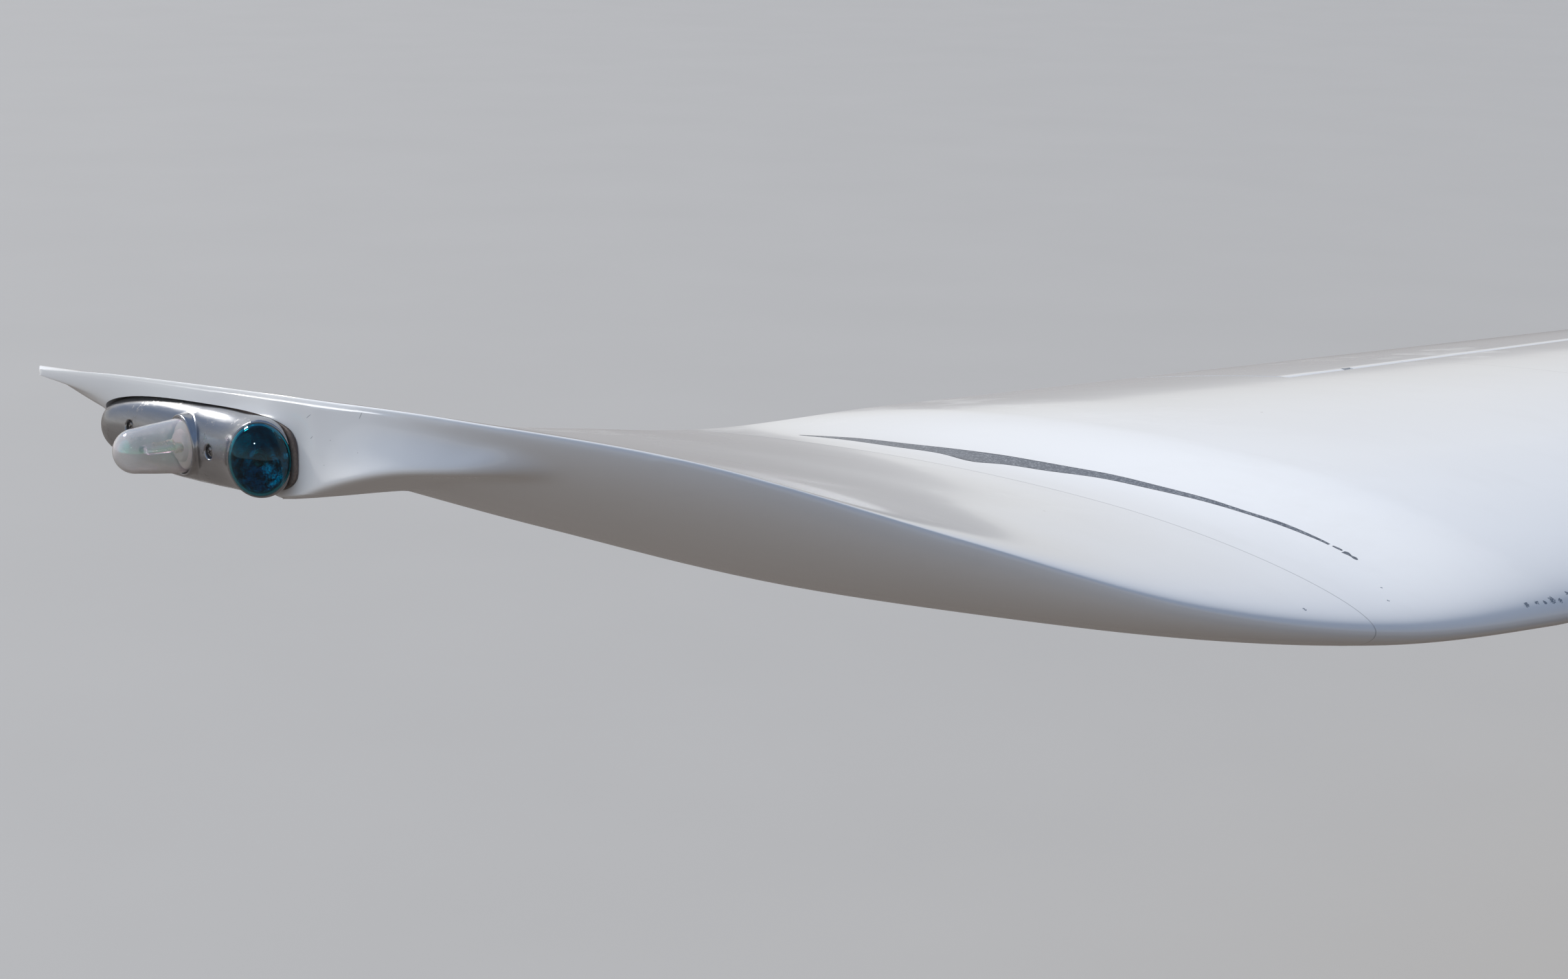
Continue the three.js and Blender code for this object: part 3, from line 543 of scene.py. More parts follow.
aileron = {"hinge": 0.78, "start": 1760, "end": 3400, "brackets": (0.08, 0.5, 0.92)}
flap = {"hinge": 0.735, "start": 14, "end": 1746, "brackets": (0.08, 0.5, 0.92)}
hinge = {"coveGap": 6, "endGap": 7, "slot": 19, "slotEnd": 17, "far": 900, "pastRoot": 60}


def hingeAt(surface, x):
    station = panelStation(x)
    top, low = sectionPoint(station, surface["hinge"], 1), sectionPoint(station, surface["hinge"], -1)
    return (top + low) / 2, (top.z - low.z) / 2


def hingeFrame(surface):
    start, startRadius = hingeAt(surface, surface["start"])
    end, endRadius = hingeAt(surface, surface["end"])
    length = (end - start).length
    along = (end - start).normalized()
    up = (Vector((0, 0, 1)) - along * along.z).normalized()
    forward = up.cross(along)
    place = Matrix((along, forward, up)).transposed().to_4x4()
    place.translation = start
    return place, length, lambda a: startRadius + (endRadius - startRadius) * a / length


def arc(radius, start, end, steps):
    angles = [math.radians(start + (end - start) * i / steps) for i in range(steps + 1)]
    return [(radius * math.cos(a), radius * math.sin(a)) for a in angles]


def alongHinge(name, surface, a0, a1, outlineAt):
    place, length, radiusAt = hingeFrame(surface)
    rings = [[place @ Vector((a, y, z)) for y, z in outlineAt(radiusAt(a))] for a in (a0, a1)]
    return shellOverRings(name, rings)


def coveOutline(radius):
    far, high = hinge["far"], hinge["far"] / 4
    return arc(radius + hinge["coveGap"], 90, -90, 48) + [(0, -high), (-far, -high), (-far, high), (0, high)]


def slotOutline(radius):
    far, high = hinge["far"] / 3, hinge["far"] / 6
    return arc(hinge["slotEnd"], 90, 270, 20) + [(0, -high), (far, -high), (far, high), (0, high)]


def surfaceRing(surface, x):
    station = panelStation(x)
    centre, radius = hingeAt(surface, x)
    steps = 22
    shares = [surface["hinge"] + (1 - surface["hinge"]) * i / steps for i in range(1, steps + 1)]
    ring = [sectionPoint(station, u, 1) for u in reversed(shares)]
    ring += [Vector((x, centre.y + y, centre.z + z)) for y, z in arc(radius, 90, -90, 36)]
    return ring + [sectionPoint(station, u, -1) for u in shares]


# Aileron or flap: round nose about the hinge, square ends, a notch at each bracket.
def makeSurface(name, surface):
    count, spare = 14, 60
    start, end = surface["start"] - spare, surface["end"] + spare
    body = shellOverRings(name, [surfaceRing(surface, start + (end - start) * i / count)
                                 for i in range(count + 1)])
    length = hingeFrame(surface)[1]
    far, high = hinge["far"], hinge["far"] / 4
    square = [(-far, -high), (far / 2, -high), (far / 2, high), (-far, high)]
    trim = alongHinge("trim", surface, hinge["endGap"], length - hinge["endGap"], lambda radius: square)
    combine(body, trim, "INTERSECT")
    for share in surface["brackets"]:
        middle, half = length * share, hinge["slot"] / 2
        combine(body, alongHinge("notch", surface, middle - half, middle + half, slotOutline))
    return shadeByAngle(body, 30)


paintMarks = {
    "white": (0.885, 0.885, 0.88),
    # filled joint across the panel, in metres: x, half its width, and y of its ends
    "seam": (3.155, 0.0006, -0.43, -0.09),
    "jointHalf": 0.0007,
    "smudges": [(3.16, -0.145, 0.305), (3.157, -0.215, 0.308), (3.13, -0.32, 0.302)],
    # x, y, z and reach of each chipped place
    "chips": [(4.133, 0.284, 0.237, 0.005), (4.020, 0.273, 0.231, 0.003), (4.033, 0.289, 0.2265, 0.0035),
              (3.9065, 0.330, 0.209, 0.007), (3.894, 0.331, 0.209, 0.006), (3.885, 0.333, 0.2075, 0.005),
              (3.875, 0.333, 0.208, 0.009), (3.866, 0.335, 0.2065, 0.006), (3.851, 0.3315, 0.209, 0.006)],
    # y and z of both ends of each scratch on the light's pad
    "scratches": [(-0.0290, 0.4184, -0.0250, 0.4214), (0.0097, 0.4221, 0.0114, 0.4267),
                  (-0.0259, 0.4052, -0.0238, 0.4072), (-0.0417, 0.3984, -0.0404, 0.3997),
                  (-0.0390, 0.3880, -0.0376, 0.3894), (-0.0099, 0.4062, -0.0096, 0.4064),
                  (-0.0135, 0.3897, -0.0131, 0.3899), (0.0122, 0.4010, 0.0125, 0.4012)],
    "scratchWide": 0.0007, "scratchesFrom": 4.7,
}


# Chipped places: fine fragments that thin out away from each spot.
def chipMask(look):
    shares = [rescale(look, awayFrom(look, spot), reach, 0.0) for *spot, reach in paintMarks["chips"]]
    grain = noise(look, 520.0, 3.0, 0.7, stretched(look, (1, 1.6, 1.6)))
    near = gather(look, "MAXIMUM", shares)
    return calculate(look, "GREATER_THAN", times(look, grain, near), 0.34)


# Hairline scratches: points whose way round by both ends of the scratch is hardly longer than the scratch.
def scratchMask(look):
    flat = stretched(look, (0, 1, 1))
    marks = []
    for y0, z0, y1, z1 in paintMarks["scratches"]:
        length = math.hypot(y1 - y0, z1 - z0)
        way = calculate(look, "ADD", awayFrom(look, (0, y0, z0), flat), awayFrom(look, (0, y1, z1), flat))
        marks.append(rescale(look, way, math.hypot(length, paintMarks["scratchWide"]), length))
    x = addNode(look, "SeparateXYZ", {0: look.place}).outputs[0]
    outboard = calculate(look, "GREATER_THAN", x, paintMarks["scratchesFrom"])
    return times(look, gather(look, "MAXIMUM", marks), outboard)


# A thin line across the wing at one x, from one y to another.
def chordLine(look, x, half, low=-0.6, high=0.6):
    parts = addNode(look, "SeparateXYZ", {0: look.place}).outputs
    away = calculate(look, "ABSOLUTE", calculate(look, "SUBTRACT", parts[0], x))
    line = calculate(look, "LESS_THAN", away, half)
    for operation, edge in (("GREATER_THAN", low), ("LESS_THAN", high)):
        line = times(look, line, calculate(look, operation, parts[1], edge))
    return line


# Glossy gelcoat: faint waviness, a thin film of dirt, bug specks, chips, scratches and filled joints.
def makeWingPaint():
    white = paintMarks["white"]
    look = startMaterial("wingPaint", white, 0.16, Coat_Weight=0.3, Coat_Roughness=0.06, IOR=1.5)
    dirt = grimeOn(look, 2.2, 0.35)
    streaks = noise(look, 14.0, 6.0, 0.6, stretched(look, (1.6, 0.5, 3)))
    colour = layOver(look, white, dirt, 0.10, (0.60, 0.58, 0.54))
    colour = mixColours(look, rescale(look, streaks, 0.55, 0.8, 0.0, 0.10), colour, (0.68, 0.67, 0.65))
    colour = layOver(look, colour, specksOn(look, 22.0, 0.035), 0.45, (0.25, 0.22, 0.18))
    colour = layOver(look, colour, chordLine(look, *paintMarks["seam"]), 0.45, (0.42, 0.42, 0.43))
    joint = chordLine(look, tipStation(wing["tipJoint"])[0] * mm, paintMarks["jointHalf"])
    colour = layOver(look, colour, joint, 0.4, (0.30, 0.30, 0.31))
    smudge = gather(look, "MINIMUM", [awayFrom(look, spot) for spot in paintMarks["smudges"]])
    colour = mixColours(look, rescale(look, smudge, 0.012, 0.004, 0.0, 0.3), colour, (0.45, 0.45, 0.46))
    chips = chipMask(look)
    colour = layOver(look, colour, chips, 0.85, (0.13, 0.16, 0.20))
    colour = layOver(look, colour, scratchMask(look), 0.6, (0.20, 0.20, 0.22))
    paintOver(look, colour, Roughness=rescale(look, dirt, 0.0, 1.0, 0.12, 0.22))
    wave, peel = noise(look, 5.0, 2.0, 0.4), noise(look, 260.0, 2.0, 0.5)
    height = calculate(look, "ADD", wave, times(look, peel, 0.01))
    addBump(look, calculate(look, "SUBTRACT", height, times(look, chips, 0.06)), 0.2, 0.003)
    return look.material


# Grey metallic with a coarse fleck, and thin darker edges across its own UV map.
def makeStripePaint():
    look = startMaterial("stripePaint", (0.3, 0.31, 0.32), 0.34, 0.55, Coat_Weight=0.25)
    fleck = addNode(look, "TexVoronoi", {"Vector": look.place, "Scale": 900.0})
    tone = addNode(look, "SeparateColor", {"Color": fleck.outputs["Color"]}).outputs[0]
    colour = mixColours(look, rescale(look, tone, 0.55, 1.0), (0.20, 0.205, 0.215), (0.52, 0.53, 0.54))
    across = addNode(look, "SeparateXYZ", {0: addNode(look, "TexCoord").outputs["UV"]}).outputs[0]
    edge = calculate(look, "ABSOLUTE", calculate(look, "SUBTRACT", across, 0.5))
    colour = mixColours(look, rescale(look, edge, 0.44, 0.48), colour, (0.05, 0.052, 0.058))
    paintOver(look, colour, Roughness=rescale(look, tone, 0.0, 1.0, 0.28, 0.42))
    return look.material


# Bare metal with tool marks, uneven shine and dirt where it gathers.
def makeMetal(name, colour, roughness, across, scale, grime=0.35, dirty=(0.12, 0.10, 0.08), marks=0.12):
    look = startMaterial(name, colour, roughness, 1.0)
    height, tone = groupOn(look, toolMarks, Across=across, Scale=scale)
    dirt = grimeOn(look, 30.0, grime)
    shown = mixColours(look, tone, [c * 0.82 for c in colour], colour)
    shine = rescale(look, tone, 0.0, 1.0, roughness * 1.25, roughness * 0.85)
    shine = calculate(look, "ADD", shine, times(look, dirt, 0.25))
    paintOver(look, layOver(look, shown, dirt, 0.5, dirty), Roughness=shine)
    addBump(look, height, marks, 0.0003)
    return look.material


# Bare laminate: woven cloth under resin, with paler and darker resin.
def makeGlassFibre():
    look = startMaterial("glassFibre", (0.52, 0.47, 0.33), 0.45, Coat_Weight=0.2)
    threads = {"Vector": look.place, "Scale": 110.0, "Distortion": 0.6}
    weave = gather(look, "MULTIPLY", [addNode(look, "TexWave", threads, bands_direction=direction).outputs[1]
                                      for direction in "YZ"])
    resin = grimeOn(look, 9.0, 0.6)
    colour = mixColours(look, weave, (0.42, 0.37, 0.24), (0.60, 0.55, 0.40))
    colour = layOver(look, colour, resin, 0.5, (0.34, 0.27, 0.15))
    paintOver(look, colour, Roughness=rescale(look, resin, 0.0, 1.0, 0.5, 0.3))
    addBump(look, weave, 0.3, 0.0004)
    return look.material


def makeRubber():
    look = startMaterial("gasketRubber", (0.16, 0.13, 0.12), 0.7)
    paintOver(look, mixColours(look, grimeOn(look, 60.0, 0.6), (0.135, 0.105, 0.093), (0.22, 0.18, 0.155)))
    addBump(look, noise(look, 900.0), 0.15, 0.0002)
    return look.material


# Glass with a little dust, which dulls its shine in places.
def makeGlass(name, colour, roughness, ior, dusty, bumpy=0.02, clear=1.0, **sockets):
    look = startMaterial(name, colour, roughness, IOR=ior, Transmission_Weight=clear, **sockets)
    shine = rescale(look, grimeOn(look, 50.0, dusty), 0.0, 1.0, roughness, roughness + 0.12)
    tint = layOver(look, colour, specksOn(look, 260.0, 0.06), 0.5, (0.5, 0.48, 0.44))
    paintOver(look, tint, Roughness=shine)
    addBump(look, noise(look, 45.0, 2.0), bumpy, 0.001)
    return look.material


# Bright, partly tarnished reflector behind the coloured glass.
def makeReflector():
    look = startMaterial("reflector", (0.9, 0.92, 0.92), 0.08, 1.0)
    tarnish = grimeOn(look, 150.0, 0.75)
    paintOver(look, mixColours(look, tarnish, (0.95, 0.97, 0.97), (0.10, 0.12, 0.12)),
              Roughness=rescale(look, tarnish, 0.0, 1.0, 0.05, 0.25))
    addBump(look, noise(look, 260.0, 2.0), 0.6, 0.0015)
    return look.material


def makeCeramic():
    look = startMaterial("strobeCeramic", (0.78, 0.77, 0.72), 0.35, Coat_Weight=0.2)
    paintOver(look, layOver(look, (0.80, 0.79, 0.74), grimeOn(look, 120.0, 0.4), 0.6, (0.42, 0.36, 0.27)))
    addBump(look, noise(look, 500.0), 0.2, 0.0003)
    return look.material


wingPaint, stripePaint = makeWingPaint(), makeStripePaint()
glassFibre, gasketRubber = makeGlassFibre(), makeRubber()
castMetal = makeMetal("castMetal", (0.55, 0.555, 0.57), 0.2, (10, 1.2, 12), 26.0, 0.35,
                      (0.22, 0.18, 0.14), 0.05)
screwSteel = makeMetal("screwSteel", (0.48, 0.46, 0.43), 0.32, (1, 3, 3), 300.0, 0.6)
platedSteel = makeMetal("platedSteel", (0.60, 0.60, 0.57), 0.30, (1, 1, 1), 160.0, 0.4)
milledPlate = makeMetal("milledPlate", (0.70, 0.71, 0.72), 0.34, (1, 12, 1), 90.0, 0.3)
drawnTube = makeMetal("drawnTube", (0.72, 0.73, 0.74), 0.28, (1, 20, 20), 60.0, 0.35)
lampMetal = makeMetal("lampMetal", (0.80, 0.72, 0.50), 0.25, (1, 1, 1), 200.0, 0.2)
greenGlass = makeGlass("greenGlass", (0.002, 0.28, 0.38), 0.01, 1.45, 0.08, Specular_IOR_Level=0.15)
clearGlass = makeGlass("clearGlass", (0.99, 0.98, 0.99), 0.02, 1.46, 0.2, 0.03, 0.78,
                       Thin_Film_Thickness=520.0, Thin_Film_IOR=1.8)
lampGlass = makeGlass("lampGlass", (0.93, 0.91, 0.96), 0.05, 1.45, 0.3)
reflectorMetal, strobeCeramic = makeReflector(), makeCeramic()
print("finishes made")


covers = {
    # CAD node, and x and y of the middle
    "places": {"inspectionCoverInner": ("inspection_cover_inner", 1180, -190),
               "inspectionCoverOuter": ("inspection_cover_outer", 2560, -150)},
    "radius": 62, "thick": 3, "screws": 6, "screwRing": 53, "screwRadius": 3.6, "screwHigh": 1.4,
}


# Round inspection covers let into the underside, each with its ring of screws.
def makeCovers(panel):
    radius, gap = covers["radius"], wing["gap"]
    for name, (node, x, y) in covers["places"].items():
        level = undersideAt(x, y) + covers["thick"]
        cover = copyOf(panel, name)
        combine(cover, discCutter(x, y, level, radius), "INTERSECT")
        combine(panel, discCutter(x, y, level + gap, radius + gap))
        for i in range(covers["screws"]):
            angle = 2 * math.pi * (i + 0.5) / covers["screws"]
            makeFlushScrew(f"{name}Screw{i + 1}", x + covers["screwRing"] * math.cos(angle),
                           y + covers["screwRing"] * math.sin(angle))
        roundEdges(cover, 0.5, 50)
        putOn(shadeByAngle(cover, 30), wingPaint, "wing", "wing_paint", node)


def undersideAt(x, y):
    return skinPoint(panelStation(x), y, -1).z


def discCutter(x, y, top, radius):
    deselectAll()
    deep = 225
    bpy.ops.mesh.primitive_cylinder_add(vertices=120, radius=radius * mm, depth=deep * mm,
                                        location=(x * mm, y * mm, (top - deep / 2) * mm))
    return settle(newest("disc"))


# Cross of two bars, for a screw's recess; place's X axis points out of the head.
def crossCutter(place, arm, wide, deep):
    bars = []
    for turn in (0, math.pi / 2):
        deselectAll()
        bpy.ops.mesh.primitive_cube_add(size=1)
        bar = newest("bar")
        bar.data.transform(Matrix.Scale(mm, 4) @ place @ Matrix.Rotation(turn, 4, "X")
                           @ Matrix.Diagonal((deep, arm, wide, 1)))
        bars.append(bar)
    return combine(bars[0], bars[1], "UNION")


def makeScrewHead(name, place, radius, high):
    shares = [(0, 0), (1, 0), (1, 0.45), (0.93, 0.68), (0.72, 0.88), (0.4, 0.98), (0, 1)]
    head = turnedShell(name, [(radius * r, high * h) for r, h in shares], place, 40)
    top = place @ Matrix.Translation((high, 0, 0)) @ Matrix.Rotation(0.5, 4, "X")
    cross = crossCutter(top, radius * 1.3, radius * 0.28, high * 0.9)
    return shadeByAngle(combine(head, cross), 40)


def makeFlushScrew(name, x, y):
    down = Matrix.Translation((x, y, undersideAt(x, y) + 1.0)) @ Matrix.Rotation(math.radians(90), 4, "Y")
    head = makeScrewHead(name, down, covers["screwRadius"], covers["screwHigh"])
    putOn(head, screwSteel, "wing", "steel")


def makeSkins():
    tip = shadeByAngle(makeTip(), skin["smoothBelow"])
    putOn(tip, wingPaint, "wing", "wing_paint", "wing_tip")
    panel = makePanelSkin()
    for surface, before in ((aileron, 0), (flap, hinge["pastRoot"])):
        length = hingeFrame(surface)[1]
        combine(panel, alongHinge("cove", surface, -before, length, coveOutline))
    makeCovers(panel)
    putOn(shadeByAngle(panel, 30), wingPaint, "wing", "wing_paint", "wing_panel")
    putOn(makeSurface("aileronSkin", aileron), wingPaint, "aileron", "wing_paint", "aileron")
    putOn(makeSurface("flapSkin", flap), wingPaint, "flap", "wing_paint", "flap")


makeSkins()
print("tip, panel, aileron and flap made")


stripe = {
    # y, inboard edge x, outboard edge x of each piece of the film; its front end has chipped off in bits
    "pieces": {
        "liveryStripe": [(-337, 4039, 4041), (-285, 4023, 4037), (-225, 4017, 4037), (-175, 4009, 4034),
                         (-130, 4003, 4042), (-100, 4001, 4030), (-60, 3998, 4022), (-15, 3993, 4009),
                         (35, 3992, 4004), (80, 3990, 3999), (118, 3990, 3996), (155, 3987, 3993.5),
                         (190, 3988.5, 3992.5), (203, 3990, 3993)],
        "liveryStripeBit1": [(206.5, 3990.5, 3992.5), (212, 3990, 3993.2), (216, 3991, 3993)],
        "liveryStripeBit2": [(218, 3991.5, 3996), (221, 3990.4, 3995.6), (226, 3992.8, 3995.4),
                             (230, 3992.6, 3996.8), (233, 3994.6, 3996.2)],
    },
    "proud": 0.14, "film": 0.08, "perRow": 8, "across": 8,
}


def upperSkin(x, y):
    rows = wing["tipStations"]
    return skinPoint(tipStation((x - rows[0][0]) / (rows[1][0] - rows[0][0])), y, 1)


def makeStripe(name, rows):
    deselectAll()
    bpy.ops.mesh.primitive_grid_add(x_subdivisions=stripe["across"],
                                    y_subdivisions=(len(rows) - 1) * stripe["perRow"], size=1)
    film = newest(name)
    for vertex in film.data.vertices:
        s, t = vertex.co.x + 0.5, (vertex.co.y + 0.5) * (len(rows) - 1)
        k = min(int(t), len(rows) - 2)
        y, inner, outer = curved(t - k, *(rows[max(0, min(len(rows) - 1, k + i))] for i in (-1, 0, 1, 2)))
        point = upperSkin(inner + (outer - inner) * s, y)
        vertex.co = (point + Vector((0, 0, stripe["proud"]))) * mm
    applyModifier(film, "SOLIDIFY", thickness=stripe["film"] * mm, offset=-1)
    editAll(film)
    bpy.ops.mesh.normals_make_consistent(inside=False)
    bpy.ops.object.mode_set(mode="OBJECT")
    putOn(shadeByAngle(film, 40), stripePaint, "wing", "wing_paint")


for pieceName, pieceRows in stripe["pieces"].items():
    makeStripe(pieceName, pieceRows)
print("stripe made")


housing = {
    "base": 3.1, "inset": 0.6, "ridge": 20, "rise": 8.3, "riseAt": 64, "fall": 3, "bodyEnd": 8,
    "around": 72, "bodyRings": 60, "noseRings": 44, "endPull": 84, "voxel": 0.55, "evening": 8,
    # radius and place along the lens's axis of the hollow behind the reflector
    "hollow": [(0, -12.6), (6, -11.5), (10, -9.2), (13.8, -5.8), (16.6, -3.0), (18.2, -1.1), (18.8, -0.2),
               (19.0, 0.4), (19.0, 6), (0, 6)],
}
lens = {
    "ahead": 83.4, "out": 18, "turn": 50, "wide": 40.5, "high": 49, "dome": 14, "rim": 0.9, "wall": 1.8,
    "foot": 0.3,
    "bowl": [(18.4, -0.1), (17.2, -1.2), (15.8, -2.6), (14, -4.4), (12, -6.3), (10, -8.1), (8, -9.5),
             (6, -10.6), (4, -11.4), (2, -11.8), (0.4, -11.9)],
    "bowlWall": 0.35, "facetSides": 38, "facetPress": 1.5,
    "bulb": [(0, -9.5), (2.8, -9.5), (3.0, -5), (4.2, -1.5), (4.6, 1.0), (4.0, 4.0), (2.2, 6.0), (0, 6.6)],
    "bulbCap": [(0, -12), (3.6, -12), (3.9, -11), (3.9, -8.6), (3.4, -8.0), (0, -8.0)],
}
strobe = {
    "forward": 0.5, "sunk": 4, "turn": -10, "radius": 18.4, "endRadius": 15, "reach": 51, "wall": 1.6,
    "collar": 21, "collarProud": 0.5,
    "base": [(0, 0.2), (16.4, 0.2), (16.4, 2.2), (15.6, 3.0), (11, 3.4), (10.4, 6.0), (9.2, 7.0), (0, 7.2)],
}
flashTube = {
    "legs": 6.5, "top": 24, "radius": 2.6, "bends": 12,
    "cap": [(0, 5.5), (3.4, 5.5), (3.6, 6.2), (3.6, 11), (3.1, 11.8), (0, 11.8)],
    "wire": 0.3, "coil": 3.1, "coilFrom": 13, "coilPitch": 1.2, "coilSteps": 55, "perTurn": 8,
}
lightScrews = {"lightScrewFront": ("light_screw_front", 35, 0),
               "lightScrewRear": ("light_screw_rear", -66, 4.5)}
screwSeat = {"head": 3.6, "high": 2.4, "recess": 4.8, "deep": 4}


# Where a part sits on the light; its X axis points outboard, turned towards the nose.
def seatAt(x, y, turn):
    return lightFrame @ Matrix.Translation((x, y, 0)) @ Matrix.Rotation(math.radians(turn), 4, "Z")


lensSeat = seatAt(lens["out"], lens["ahead"], lens["turn"])
strobeSeat = seatAt(housing["base"] + housing["ridge"] - strobe["sunk"], strobe["forward"], strobe["turn"])


def ridgeAt(y):
    if y > 0:
        return housing["ridge"] + housing["rise"] * (y / housing["riseAt"]) ** 2
    return housing["ridge"] + housing["fall"] * y / light["back"]


# D-shaped section of the housing, in the light's frame.
def bodyRing(y):
    tail = -light["back"] + housing["inset"]
    rounding = min(1, (y - tail) / light["tailRound"])
    proud = ridgeAt(y) * math.sqrt(max(0, 1 - (1 - rounding) ** 2))
    half = max(0.8, outlineHalf(y) - housing["inset"])
    return [Vector((housing["base"] + proud * abs(c) ** 0.85, y, half * z))
            for c, z in arc(1, -90, 90, housing["around"])]


# From the last body section the skin sweeps round onto the lens's slanted rim.
def cowlRings():
    turn = math.radians(lens["turn"])
    axis = Vector((math.cos(turn), math.sin(turn), 0))
    across = Vector((-axis.y, axis.x, 0))
    centre = Vector((lens["out"], lens["ahead"], 0))
    halfWide, halfHigh = lens["wide"] / 2 + lens["rim"], lens["high"] / 2 + lens["rim"]
    first = bodyRing(housing["bodyEnd"])
    steps = housing["noseRings"]
    rings = []
    for k in range(1, steps + 1):
        s = k / steps
        ring = []
        for i, p0 in enumerate(first):
            angle = 2 * math.pi * (1 - i / housing["around"])
            p1 = centre + across * (halfWide * math.cos(angle))
            p1.z += halfHigh * math.sin(angle)
            span = (p1 - p0).length
            edge = abs(2 * i / housing["around"] - 1) ** 3  # 1 on the base's outline, 0 on the ridge
            leave = Vector((0.12, 1, 0)) * span * 0.95
            arrive = axis * span * 0.75 * (1 - edge)
            arrive.z -= math.copysign(housing["endPull"], p0.z) * edge
            point = p0 * (2 * s ** 3 - 3 * s * s + 1) + leave * (s ** 3 - 2 * s * s + s) \
                + p1 * (3 * s * s - 2 * s ** 3) + arrive * (s ** 3 - s * s)
            point.x = max(point.x, housing["base"])
            ring.append(point)
        rings.append(ring)
    return rings


def makeHousing():
    tail = -light["back"] + housing["inset"]
    count = housing["bodyRings"]
    rings = [bodyRing(tail + (housing["bodyEnd"] - tail) * (1 - math.cos(math.pi * i / count / 2)) + 0.05)
             for i in range(count + 1)]
    rings = [[lightFrame @ p for p in ring] for ring in rings + cowlRings()]
    body = shellOverRings("lightHousing", rings)
    collar, top = strobe["collar"], strobe["sunk"] + strobe["collarProud"]
    lip = [(0, -8), (collar, -8), (collar, top - 0.8), (collar - 0.5, top), (0, top)]
    combine(body, turnedShell("collar", lip, strobeSeat, 72), "UNION")
    gap, cup = wing["gap"], strobe["radius"] + wing["gap"]
    combine(body, turnedShell("cup", [(0, -gap), (cup, -gap), (cup, 60), (0, 60)], strobeSeat, 72))
    for name, (node, y, z) in lightScrews.items():
        seat = lightFrame @ Matrix.Translation((housing["base"] + ridgeAt(y) - screwSeat["deep"], y, z))
        hole = screwSeat["recess"]
        combine(body, turnedShell("recess", [(0, -0.3), (hole, -0.3), (hole, 40), (0, 40)], seat, 48))
        head = makeScrewHead(name, seat, screwSeat["head"], screwSeat["high"])
        putOn(head, screwSteel, "wing", "steel", node)
    combine(body, turnedShell("bowl", housing["hollow"], lensSeat, 72, lens["high"] / lens["wide"]))
    applyModifier(body, "REMESH", mode="VOXEL", voxel_size=housing["voxel"] * mm)
    applyModifier(body, "SMOOTH", factor=0.5, iterations=housing["evening"])
    pick(body)
    bpy.ops.object.shade_smooth()
    putOn(body, castMetal, "wing", "cast_aluminium", "light_housing")


def makeGasket():
    profile = [(-6, 0.3), (-0.5, 0.3), (0, 0.8), (0, 2.2), (-0.6, 2.8), (-6, 2.8)]
    gasket = shellOverRings("lightGasket", [lightOutline(grow, x) for grow, x in profile])
    putOn(shadeByAngle(gasket, 50), gasketRubber, "wing", "gasket_rubber", "light_gasket")


def domeProfile(radius, depth, steps, start):
    angles = [math.pi / 2 * i / steps for i in range(steps + 1)]
    return [(radius * math.cos(a), start + depth * math.sin(a)) for a in angles]


# Bowl behind the lens, whose front is pressed into small facets.
def makeReflectorBowl(shape):
    front = lens["bowl"]
    back = [(radius, along - lens["bowlWall"]) for radius, along in front]
    rings = []
    for k, (radius, along) in enumerate(back[::-1] + front):
        row = k - len(back)
        lift = lens["facetPress"] if 0 < row < len(front) - 1 else 0
        rings.append([lensSeat @ Vector((along + lift * ((i + row) % 2), radius * c, radius * shape * s))
                      for i, (c, s) in enumerate(circle(lens["facetSides"]))])
    bowl = shellOverRings("lensReflector", rings)
    putOn(shadeByAngle(bowl, 4), reflectorMetal, "wing", "cast_aluminium")


def makeLens():
    radius, shape = lens["wide"] / 2, lens["high"] / lens["wide"]
    foot, wall = lens["foot"], lens["wall"]
    outer = domeProfile(radius, lens["dome"] - foot, 20, foot)
    inner = domeProfile(radius - wall, lens["dome"] - foot - wall, 20, foot)
    glass = turnedShell("navigationLens", outer + inner[::-1] + outer[:1], lensSeat, 96, shape)
    putOn(shadeByAngle(glass, 40), greenGlass, "wing", "green_glass", "green_lens")
    makeReflectorBowl(shape)
    bulb = turnedShell("lensBulb", lens["bulb"], lensSeat, 32)
    putOn(shadeByAngle(bulb, 60), lampGlass, "wing", "clear_glass")
    cap = turnedShell("lensBulbCap", lens["bulbCap"], lensSeat, 32)
    putOn(shadeByAngle(cap, 40), lampMetal, "wing", "steel")


def makeStrobe():
    radius, end, reach, wall = strobe["radius"], strobe["endRadius"], strobe["reach"], strobe["wall"]
    outer = [(radius, 0), (radius, 5), (radius - 0.25, 8), (radius - 0.9, 14), (radius - 1.9, 24),
             (radius - 2.9, 32)] + domeProfile(end, end, 18, reach - end)
    inner = [(radius - wall, 0), (radius - wall, 8), (radius - 1.0 - wall, 14), (radius - 2.0 - wall, 24),
             (radius - 3.0 - wall, 32)] + domeProfile(end - wall, end - wall, 18, reach - end)
    glass = turnedShell("strobeDome", outer + inner[::-1] + outer[:1], strobeSeat, 96)
    putOn(shadeByAngle(glass, 50), clearGlass, "wing", "clear_glass", "strobe_dome")
    base = turnedShell("strobeBase", strobe["base"], strobeSeat, 64)
    putOn(shadeByAngle(base, 40), strobeCeramic, "wing", "clear_glass")


